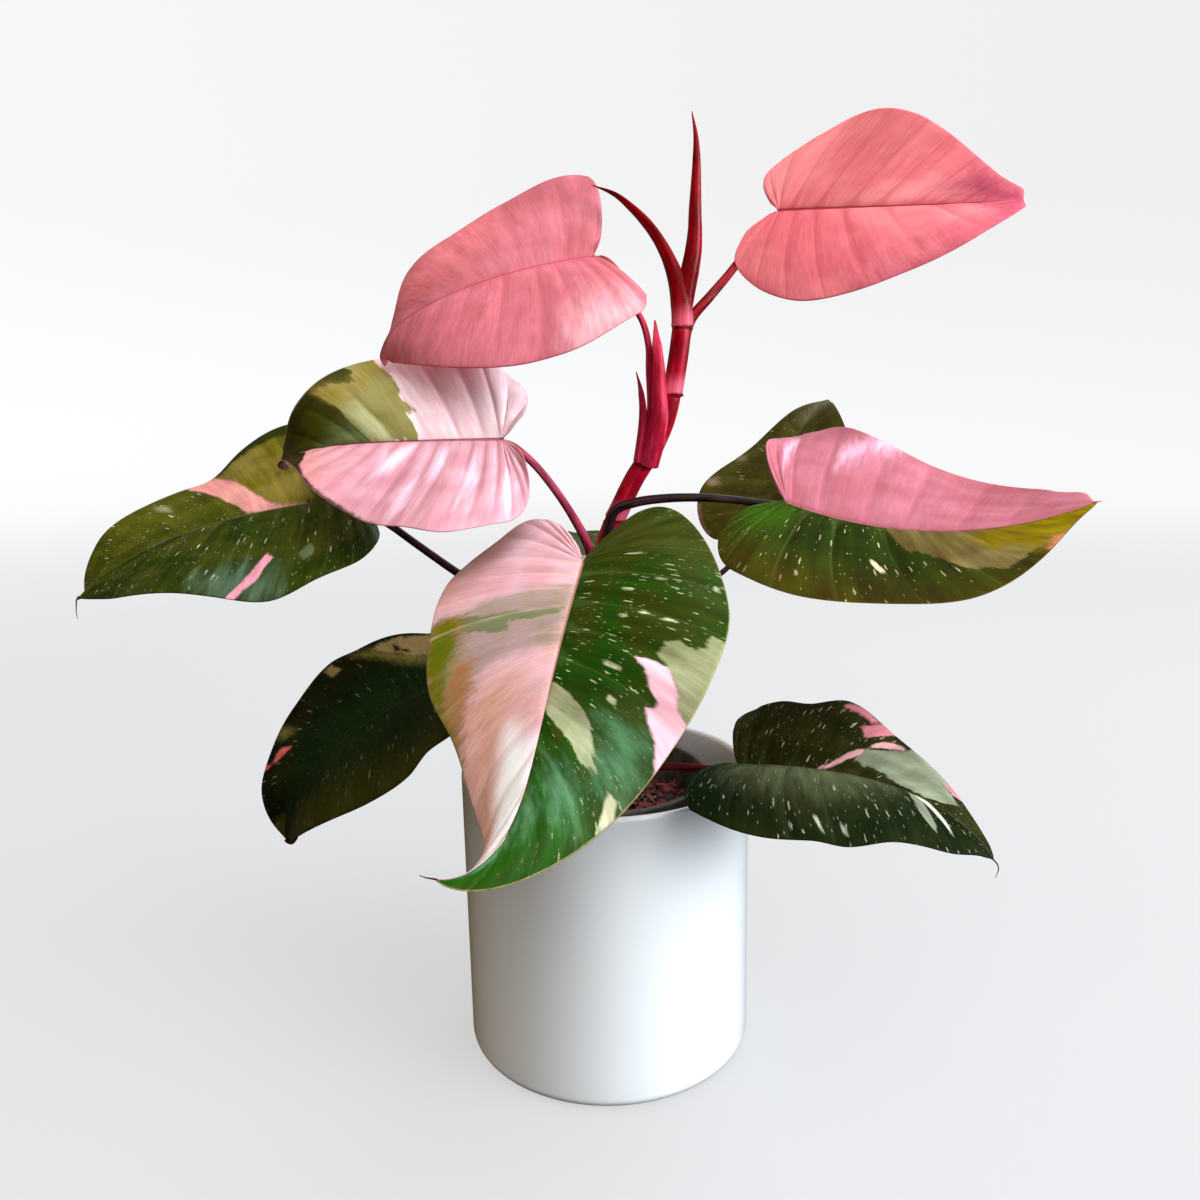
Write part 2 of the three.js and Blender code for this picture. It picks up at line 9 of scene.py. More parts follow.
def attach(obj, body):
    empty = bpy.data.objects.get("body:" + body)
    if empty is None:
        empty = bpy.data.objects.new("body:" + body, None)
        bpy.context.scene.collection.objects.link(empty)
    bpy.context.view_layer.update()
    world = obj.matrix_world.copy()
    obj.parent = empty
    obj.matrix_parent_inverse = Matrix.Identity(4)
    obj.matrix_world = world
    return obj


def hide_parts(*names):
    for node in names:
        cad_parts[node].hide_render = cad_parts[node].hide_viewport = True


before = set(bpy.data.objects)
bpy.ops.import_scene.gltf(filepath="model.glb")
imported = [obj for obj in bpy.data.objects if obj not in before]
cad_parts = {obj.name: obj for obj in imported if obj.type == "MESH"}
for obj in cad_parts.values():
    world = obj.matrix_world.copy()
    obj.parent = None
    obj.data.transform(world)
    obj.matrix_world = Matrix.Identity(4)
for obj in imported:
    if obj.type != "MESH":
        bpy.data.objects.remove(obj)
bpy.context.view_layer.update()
scene = bpy.context.scene
mm = 0.001


# Camera and light

cameraView = {
    "at": (0.0053, -0.5210, 0.3472),
    "pitchDown": 0.1938,
    "yaw": -0.01165,
    "roll": -0.01995,
    "lens": 30.171,
    "sensor": 36,
}


def placeCamera(view):
    pitch, yaw, roll = view["pitchDown"], view["yaw"], view["roll"]
    ahead = Vector((sin(yaw) * cos(pitch), cos(yaw) * cos(pitch), -sin(pitch)))
    level = Vector((cos(yaw), -sin(yaw), 0))
    upright = level.cross(ahead)
    right = level * cos(roll) + upright * sin(roll)
    up = upright * cos(roll) - level * sin(roll)
    data = bpy.data.cameras.new("camera")
    data.lens, data.sensor_width, data.clip_start, data.clip_end = view["lens"], view["sensor"], 0.02, 20
    camera = bpy.data.objects.new("camera", data)
    turn = Matrix((right, up, -ahead)).transposed().to_4x4()
    camera.matrix_world = Matrix.Translation(view["at"]) @ turn
    scene.collection.objects.link(camera)
    scene.camera = camera


softboxes = {
    "window": {"at": (2.15, -0.86, 0.70), "aim": (0, 0, 0.25), "size": (1.8, 0.95), "power": 26,
               "colour": (0.88, 0.96, 1.0), "spread": 110},
    "ceiling": {"at": (0.22, -0.85, 1.42), "aim": (0, 0, 0.3), "size": (1.5, 1.3), "power": 15,
                "colour": (1.0, 0.99, 0.97)},
    "behind": {"at": (0.5, 1.1, 1.0), "aim": (0, 0, 0.3), "size": (0.8, 0.6), "power": 4,
               "colour": (0.88, 0.95, 1.0)},
}
# The room round the plant: dim and warm to the left, bright and cool to the right, darker below
# and brighter overhead. stops run from straight away from bright (0) to straight at it (1).
room = {
    "bright": (0.93, -0.30, 0.22), "strength": 0.75, "below": 0.28, "overhead": 2.4,
    "stops": ((0.0, (0.52, 0.42, 0.27)), (0.22, (0.25, 0.18, 0.09)), (0.42, (0.25, 0.19, 0.11)),
              (0.62, (0.48, 0.51, 0.56)), (0.9, (0.95, 1.05, 1.18))),
}


def placeSoftbox(name, box):
    data = bpy.data.lights.new(name, "AREA")
    data.shape = "RECTANGLE"
    data.size, data.size_y = box["size"]
    data.energy = box["power"]
    data.color = box["colour"]
    data.spread = radians(box.get("spread", 180))  # a narrow lamp lights no streak of floor under itself
    lamp = bpy.data.objects.new(name, data)
    lamp.visible_camera = False
    lamp.location = box["at"]
    lamp.rotation_euler = (Vector(box["aim"]) - Vector(box["at"])).to_track_quat("-Z", "Y").to_euler()
    scene.collection.objects.link(lamp)


scene.view_settings.view_transform = "Standard"
scene.view_settings.look = "None"
placeCamera(cameraView)
for boxName, box in softboxes.items():
    placeSoftbox(boxName, box)
print("camera and lights placed")


# Node trees written as expressions

class Wire:  # one output socket, so that sums of sockets are written as sums
    def __init__(self, graph, socket):
        self.graph = graph
        self.socket = socket

    def also(self, name):  # another output of the same node
        return Wire(self.graph, self.graph.find(self.socket.node.outputs, name))

    def __add__(self, other):
        return self.graph.math("ADD", self, other)

    def __sub__(self, other):
        return self.graph.math("SUBTRACT", self, other)

    def __rsub__(self, other):
        return self.graph.math("SUBTRACT", other, self)

    def __mul__(self, other):
        return self.graph.math("MULTIPLY", self, other)

    def __truediv__(self, other):
        return self.graph.math("DIVIDE", self, other)

    def __pow__(self, other):
        return self.graph.math("POWER", self, other)

    def __gt__(self, other):
        return self.graph.math("GREATER_THAN", self, other)

    def __lt__(self, other):
        return self.graph.math("LESS_THAN", self, other)

    __radd__ = __add__
    __rmul__ = __mul__


class Graph:
    def __init__(self, tree):
        self.tree = tree
        tree.nodes.clear()

    def find(self, sockets, key):
        shown = [socket for socket in sockets if socket.enabled]
        if isinstance(key, int):
            return shown[key]
        return next(socket for socket in shown if socket.name == key)

    def feed(self, socket, value):
        if isinstance(value, Wire):
            self.tree.links.new(value.socket, socket)
        elif socket.type == "RGBA":
            socket.default_value = (*value[:3], 1)
        else:
            socket.default_value = value

    def add(self, kind, settings=None, values=None, out=0):
        node = self.tree.nodes.new(kind)
        for name, value in (settings or {}).items():
            if name == "stops":
                self.setStops(node.color_ramp, value)
            else:
                setattr(node, name, value)
        pairs = values.items() if isinstance(values, dict) else enumerate(values or ())
        for key, value in pairs:
            self.feed(self.find(node.inputs, key), value)
        return Wire(self, self.find(node.outputs, out)) if node.outputs else node

    def setStops(self, ramp, stops):
        while len(ramp.elements) < len(stops):
            ramp.elements.new(1)
        for element, (place, colour) in zip(ramp.elements, stops):
            element.position, element.color = place, (*colour[:3], 1)

    def math(self, operation, *values):
        return self.add("ShaderNodeMath", {"operation": operation}, values)

    def vector(self, *parts):
        return self.add("ShaderNodeCombineXYZ", None, parts)

    def scaled(self, vector, factors):
        return self.add("ShaderNodeVectorMath", {"operation": "MULTIPLY"}, (vector, factors))

    def split(self, vector, axis="X"):
        return self.add("ShaderNodeSeparateXYZ", None, (vector,), axis)

    def ease(self, value, low, high, first=0.0, last=1.0):
        settings = {"interpolation_type": "SMOOTHSTEP"}
        return self.add("ShaderNodeMapRange", settings, (value, low, high, first, last))

    def blend(self, first, second, factor, how="MIX"):
        settings = {"data_type": "RGBA", "blend_type": how, "clamp_factor": True}
        return self.add("ShaderNodeMix", settings, {"A": first, "B": second, "Factor": factor}, "Result")

    def noise(self, vector, scale=1.0, detail=2.0, roughness=0.5):
        values = {"Vector": vector, "Scale": scale, "Detail": detail, "Roughness": roughness}
        return self.add("ShaderNodeTexNoise", None, values, "Fac")

    def cells(self, vector, scale=1.0, out="Distance", **settings):
        return self.add("ShaderNodeTexVoronoi", settings, {"Vector": vector, "Scale": scale}, out)

    def attribute(self, name, out="Fac"):
        return self.add("ShaderNodeAttribute", {"attribute_name": name}, None, out)

    def place(self):
        return self.add("ShaderNodeTexCoord", None, None, "Object")

    def bump(self, height, strength, distance):
        values = {"Height": height, "Strength": strength, "Distance": distance}
        return self.add("ShaderNodeBump", None, values, "Normal")


def tint(red, green, blue):  # a colour as seen on a screen, to the numbers a shader takes
    shares = [value / 255 for value in (red, green, blue)]
    return tuple(s / 12.92 if s <= 0.04045 else ((s + 0.055) / 1.055) ** 2.4 for s in shares)


def lightRoom(look):
    world = bpy.data.worlds.new("room")
    world.use_nodes = True
    graph = Graph(world.node_tree)
    way = graph.add("ShaderNodeTexCoord", None, None, "Generated")
    bright = Vector(look["bright"]).normalized()
    facing = graph.add("ShaderNodeVectorMath", {"operation": "DOT_PRODUCT"}, (way, bright), "Value")
    tone = graph.add("ShaderNodeValToRGB", {"stops": look["stops"]}, (facing * 0.5 + 0.5,), "Color")
    height = graph.split(way, "Z")
    strength = graph.ease(height, -0.5, 0.3, look["strength"] * look["below"], look["strength"])
    strength = strength + graph.ease(height, 0.3, 1.0, 0.0, look["strength"] * look["overhead"])
    ground = graph.add("ShaderNodeBackground", None, {"Color": tone, "Strength": strength})
    graph.add("ShaderNodeOutputWorld", None, {"Surface": ground})
    scene.world = world


lightRoom(room)


def dress(name, build, **fixed):  # a material whose graph is filled in by build
    material = bpy.data.materials.new(name)
    material.use_nodes = True
    graph = Graph(material.node_tree)
    values = build(graph)
    values.update(fixed)
    shader = graph.add("ShaderNodeBsdfPrincipled", None, values, "BSDF")
    graph.add("ShaderNodeOutputMaterial", None, {"Surface": shader})
    return material


# Meshes

def addMesh(name, points, faces, material, corners=None, pointValues=None):
    mesh = bpy.data.meshes.new(name)
    mesh.from_pydata(points, [], faces)
    mesh.polygons.foreach_set("use_smooth", [True] * len(mesh.polygons))
    for key, values in (corners or {}).items():
        if key == "veinMap":
            layer = mesh.uv_layers.new(name=key)
            layer.data.foreach_set("uv", np.asarray(values, dtype=np.float32).ravel())
        else:
            layer = mesh.attributes.new(key, "FLOAT", "CORNER")
            layer.data.foreach_set("value", np.asarray(values, dtype=np.float32))
    for key, values in (pointValues or {}).items():
        layer = mesh.attributes.new(key, "FLOAT", "POINT")
        layer.data.foreach_set("value", np.asarray(values, dtype=np.float32))
    mesh.materials.append(material)
    mesh.update()
    piece = bpy.data.objects.new(name, mesh)
    scene.collection.objects.link(piece)
    return piece


def bowlFaces(rings, sides):  # a fan round point 0, then quads from each ring of points to the next
    faces = [(0, 1 + k, 1 + (k + 1) % sides) for k in range(sides)]
    for ring in range(rings):
        for k in range(sides):
            a, b = 1 + ring * sides + k, 1 + ring * sides + (k + 1) % sides
            faces.append((a, a + sides, b + sides, b))
    return faces


def faceOut(mesh):  # merges doubles and turns every face of a closed shell outwards
    work = bmesh.new()
    work.from_mesh(mesh)
    bmesh.ops.remove_doubles(work, verts=work.verts, dist=1e-6)
    bmesh.ops.recalc_face_normals(work, faces=work.faces)
    work.to_mesh(mesh)
    work.free()


def smoothPath(points, count):  # an even run of places on a centripetal spline
    knots = [Vector(point) for point in points]
    knots = [2 * knots[0] - knots[1], *knots, 2 * knots[-1] - knots[-2]]
    fine = []
    perSpan = 24
    for i in range(1, len(knots) - 2):
        a, b, c, d = knots[i - 1:i + 3]
        before, span, after = [max((q - p).length, 1e-9) ** 0.5 for p, q in ((a, b), (b, c), (c, d))]
        leave = ((b - a) / before - (c - a) / (before + span) + (c - b) / span) * span
        arrive = ((c - b) / span - (d - b) / (span + after) + (d - c) / after) * span
        for step in range(perSpan):
            t = step / perSpan
            fine.append(b * (2 * t**3 - 3 * t**2 + 1) + leave * (t**3 - 2 * t**2 + t)
                        + c * (3 * t**2 - 2 * t**3) + arrive * (t**3 - t**2))
    fine.append(knots[-2])
    fine = np.array(fine)
    runs = np.concatenate([[0], np.cumsum(np.linalg.norm(np.diff(fine, axis=0), axis=1))])
    marks = np.linspace(0, runs[-1], count)
    return np.stack([np.interp(marks, runs, fine[:, k]) for k in range(3)], axis=1), marks


# Geometry Nodes trees

def newTree(name, inputs):
    tree = bpy.data.node_groups.new(name, "GeometryNodeTree")
    tree.interface.new_socket("Geometry", in_out="INPUT", socket_type="NodeSocketGeometry")
    for label, kind, value in inputs:
        socket = tree.interface.new_socket(label, in_out="INPUT", socket_type=f"NodeSocket{kind}")
        if value is not None:
            socket.default_value = value
    tree.interface.new_socket("Geometry", in_out="OUTPUT", socket_type="NodeSocketGeometry")
    graph = Graph(tree)
    entry = graph.add("NodeGroupInput", None, None, "Geometry")
    return tree, graph, entry


def closeTree(graph, geometry, material):
    whole = graph.add("GeometryNodeRealizeInstances", None, {"Geometry": geometry})
    dressed = graph.add("GeometryNodeSetMaterial", None, {"Geometry": whole, "Material": material})
    graph.add("NodeGroupOutput", None, {"Geometry": dressed})


def keep(graph, geometry, name, value, kind="FLOAT", domain="POINT"):
    settings = {"data_type": kind, "domain": domain}
    return graph.add("GeometryNodeStoreNamedAttribute", settings,
                     {"Geometry": geometry, "Name": name, "Value": value})


def grow(name, source, tree, values, closed=True):  # runs a tree on an object and keeps the plain mesh
    modifier = source.modifiers.new("grow", "NODES")
    modifier.node_group = tree
    for item in tree.interface.items_tree:
        if item.in_out == "INPUT" and item.name in values:
            modifier[item.identifier] = values[item.name]
    evaluated = source.evaluated_get(bpy.context.evaluated_depsgraph_get())
    mesh = bpy.data.meshes.new_from_object(evaluated)
    source.modifiers.remove(modifier)
    if closed:
        faceOut(mesh)
    mesh.name = name
    piece = bpy.data.objects.new(name, mesh)
    scene.collection.objects.link(piece)
    return piece


def sweepTree():  # a tube along a line of points that carry their own radius
    tree, graph, entry = newTree("sweptTube", [("Sides", "Int", 20), ("Flutes", "Int", 5),
                                               ("Flute Depth", "Float", 0.02),
                                               ("Material", "Material", None)])
    line = keep(graph, entry, "alongTube", graph.add("GeometryNodeSplineParameter", None, None, "Length"))
    ring = graph.add("GeometryNodeCurvePrimitiveCircle", None, {
        "Resolution": entry.also("Sides"), "Radius": 1.0}, "Curve")
    corner = graph.add("GeometryNodeInputPosition")
    turn = graph.math("ARCTAN2", graph.split(corner, "Y"), graph.split(corner))
    depth = 1 - entry.also("Flute Depth") * (0.5 - 0.5 * graph.math("COSINE", turn * entry.also("Flutes")))
    fluted = graph.add("ShaderNodeVectorMath", {"operation": "SCALE"}, {"Vector": corner, "Scale": depth})
    ring = graph.add("GeometryNodeSetPosition", None, {"Geometry": ring, "Position": fluted})
    ring = keep(graph, ring, "ringPlace", corner, "FLOAT_VECTOR")
    tube = graph.add("GeometryNodeCurveToMesh", None, {
        "Curve": line, "Profile Curve": ring, "Scale": graph.add("GeometryNodeInputRadius"),
        "Fill Caps": True})
    closeTree(graph, graph.add("GeometryNodeSetShadeSmooth", None, {"Geometry": tube}),
              entry.also("Material"))
    return tree


def revolveTree():  # turns a line of [radius, height] points about Z
    tree, graph, entry = newTree("revolved", [("Segments", "Int", 192), ("Centre X", "Float", 0.0),
                                              ("Material", "Material", None)])
    count = graph.add("GeometryNodeAttributeDomainSize", None, {"Geometry": entry}, "Point Count")
    grid = graph.add("GeometryNodeMeshGrid", None, {
        "Vertices X": entry.also("Segments") + 1, "Vertices Y": count}, "Mesh")
    index = graph.add("GeometryNodeInputIndex")
    step = graph.math("MODULO", index, count)
    angle = graph.math("FLOOR", (index + 0.5) / count) * (2 * pi) / entry.also("Segments")
    profile = graph.add("GeometryNodeSampleIndex", {"data_type": "FLOAT_VECTOR"}, {
        "Geometry": entry, "Value": graph.add("GeometryNodeInputPosition"), "Index": step})
    radius = graph.split(profile)
    place = graph.vector(radius * graph.math("COSINE", angle) + entry.also("Centre X"),
                         radius * graph.math("SINE", angle), radius.also("Z"))
    turned = graph.add("GeometryNodeSetPosition", None, {"Geometry": grid, "Position": place})
    merged = graph.add("GeometryNodeMergeByDistance", None, {"Geometry": turned, "Distance": 1e-6})
    closeTree(graph, graph.add("GeometryNodeSetShadeSmooth", None, {"Geometry": merged}),
              entry.also("Material"))
    return tree


def scatterTree():  # small lumps strewn over the upward faces of a bed
    tree, graph, entry = newTree("strewn", [
        ("Density", "Float", 20000.0), ("Seed", "Int", 1), ("Detail", "Int", 1),
        ("Length", "Float", 0.006), ("Width", "Float", 0.004), ("Height", "Float", 0.002),
        ("Spread", "Float", 0.5), ("Tilt", "Float", 0.5), ("Keep Clear", "Float", 0.008),
        ("Stem X", "Float", 0.0), ("Reach", "Float", 0.055), ("Centre X", "Float", 0.0),
        ("Material", "Material", None)])
    place = graph.split(graph.add("GeometryNodeInputPosition"))
    facing = graph.split(graph.add("GeometryNodeInputNormal"), "Z")

    def distanceFrom(centre):
        aside = place - centre
        return graph.math("SQRT", aside * aside + place.also("Y") * place.also("Y"))

    open_ = (facing > 0.5) * (distanceFrom(entry.also("Stem X")) > entry.also("Keep Clear"))
    open_ = open_ * (distanceFrom(entry.also("Centre X")) < entry.also("Reach"))
    spots = graph.add("GeometryNodeDistributePointsOnFaces", {"distribute_method": "RANDOM"}, {
        "Mesh": entry, "Selection": open_, "Density": entry.also("Density"), "Seed": entry.also("Seed")},
        "Points")
    lump = graph.add("GeometryNodeMeshIcoSphere", None,
                     {"Radius": 0.5, "Subdivisions": entry.also("Detail")}, "Mesh")

    def draw(low, high, shift):
        return graph.add("FunctionNodeRandomValue", {"data_type": "FLOAT"}, {
            "Min": low, "Max": high, "Seed": entry.also("Seed") + shift}, "Value")

    def sized(label, shift):
        return entry.also(label) * draw(1 - entry.also("Spread"), 1 + entry.also("Spread"), shift)

    turn = graph.vector(draw(entry.also("Tilt") * -1, entry.also("Tilt"), 2),
                        draw(entry.also("Tilt") * -1, entry.also("Tilt"), 3), draw(0.0, 2 * pi, 4))
    strewn = graph.add("GeometryNodeInstanceOnPoints", None, {
        "Points": spots, "Instance": lump,
        "Rotation": graph.add("FunctionNodeEulerToRotation", None, (turn,)),
        "Scale": graph.vector(sized("Length", 5), sized("Width", 6), sized("Height", 7))})
    toned = keep(graph, strewn, "chipTone", draw(0.0, 1.0, 8), "FLOAT", "INSTANCE")
    whole = graph.add("GeometryNodeRealizeInstances", None, {"Geometry": toned})
    rough = graph.add("ShaderNodeTexNoise", None, {"Scale": 420.0, "Detail": 1.0}, "Color")
    shift = graph.add("ShaderNodeVectorMath", {"operation": "SUBTRACT"}, (rough, (0.5, 0.5, 0.5)))
    shift = graph.add("ShaderNodeVectorMath", {"operation": "SCALE"}, {
        "Vector": shift, "Scale": entry.also("Height") * 0.9})
    chipped = graph.add("GeometryNodeSetPosition", None, {"Geometry": whole, "Offset": shift})
    closeTree(graph, chipped, entry.also("Material"))
    return tree


sweptTube = sweepTree()
revolved = revolveTree()
strewn = scatterTree()
print("node trees built")


def sweep(name, places, radii, material, sides, flutes, fluteDepth):
    curve = bpy.data.curves.new(f"{name}_line", "CURVE")
    curve.dimensions = "3D"
    spline = curve.splines.new("POLY")
    spline.points.add(len(places) - 1)
    for point, place, radius in zip(spline.points, places, radii):
        point.co = (*(value * mm for value in place), 1)
        point.radius = radius * mm
    line = bpy.data.objects.new(f"{name}_line", curve)
    scene.collection.objects.link(line)
    piece = grow(name, line, sweptTube, {
        "Sides": sides, "Flutes": flutes, "Flute Depth": fluteDepth, "Material": material})
    bpy.data.objects.remove(line)
    return piece


def revolve(name, profile, material, segments, centreX=0.0):
    mesh = bpy.data.meshes.new(f"{name}_line")
    mesh.from_pydata([(radius * mm, 0, height * mm) for radius, height in profile], [], [])
    line = bpy.data.objects.new(f"{name}_line", mesh)
    scene.collection.objects.link(line)
    piece = grow(name, line, revolved, {"Segments": segments, "Centre X": centreX * mm, "Material": material})
    bpy.data.objects.remove(line)
    return piece


def settle(piece, slot, *nodes):
    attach(piece, "root")
    if nodes:
        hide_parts(*nodes)


# Leaves

def patch(soft, ragged, tints, *outlines, grain=0.9):
    ragged = soft * 0.4 if ragged is None else ragged
    return {"soft": soft, "ragged": ragged, "tints": tints, "outlines": outlines, "grain": grain}


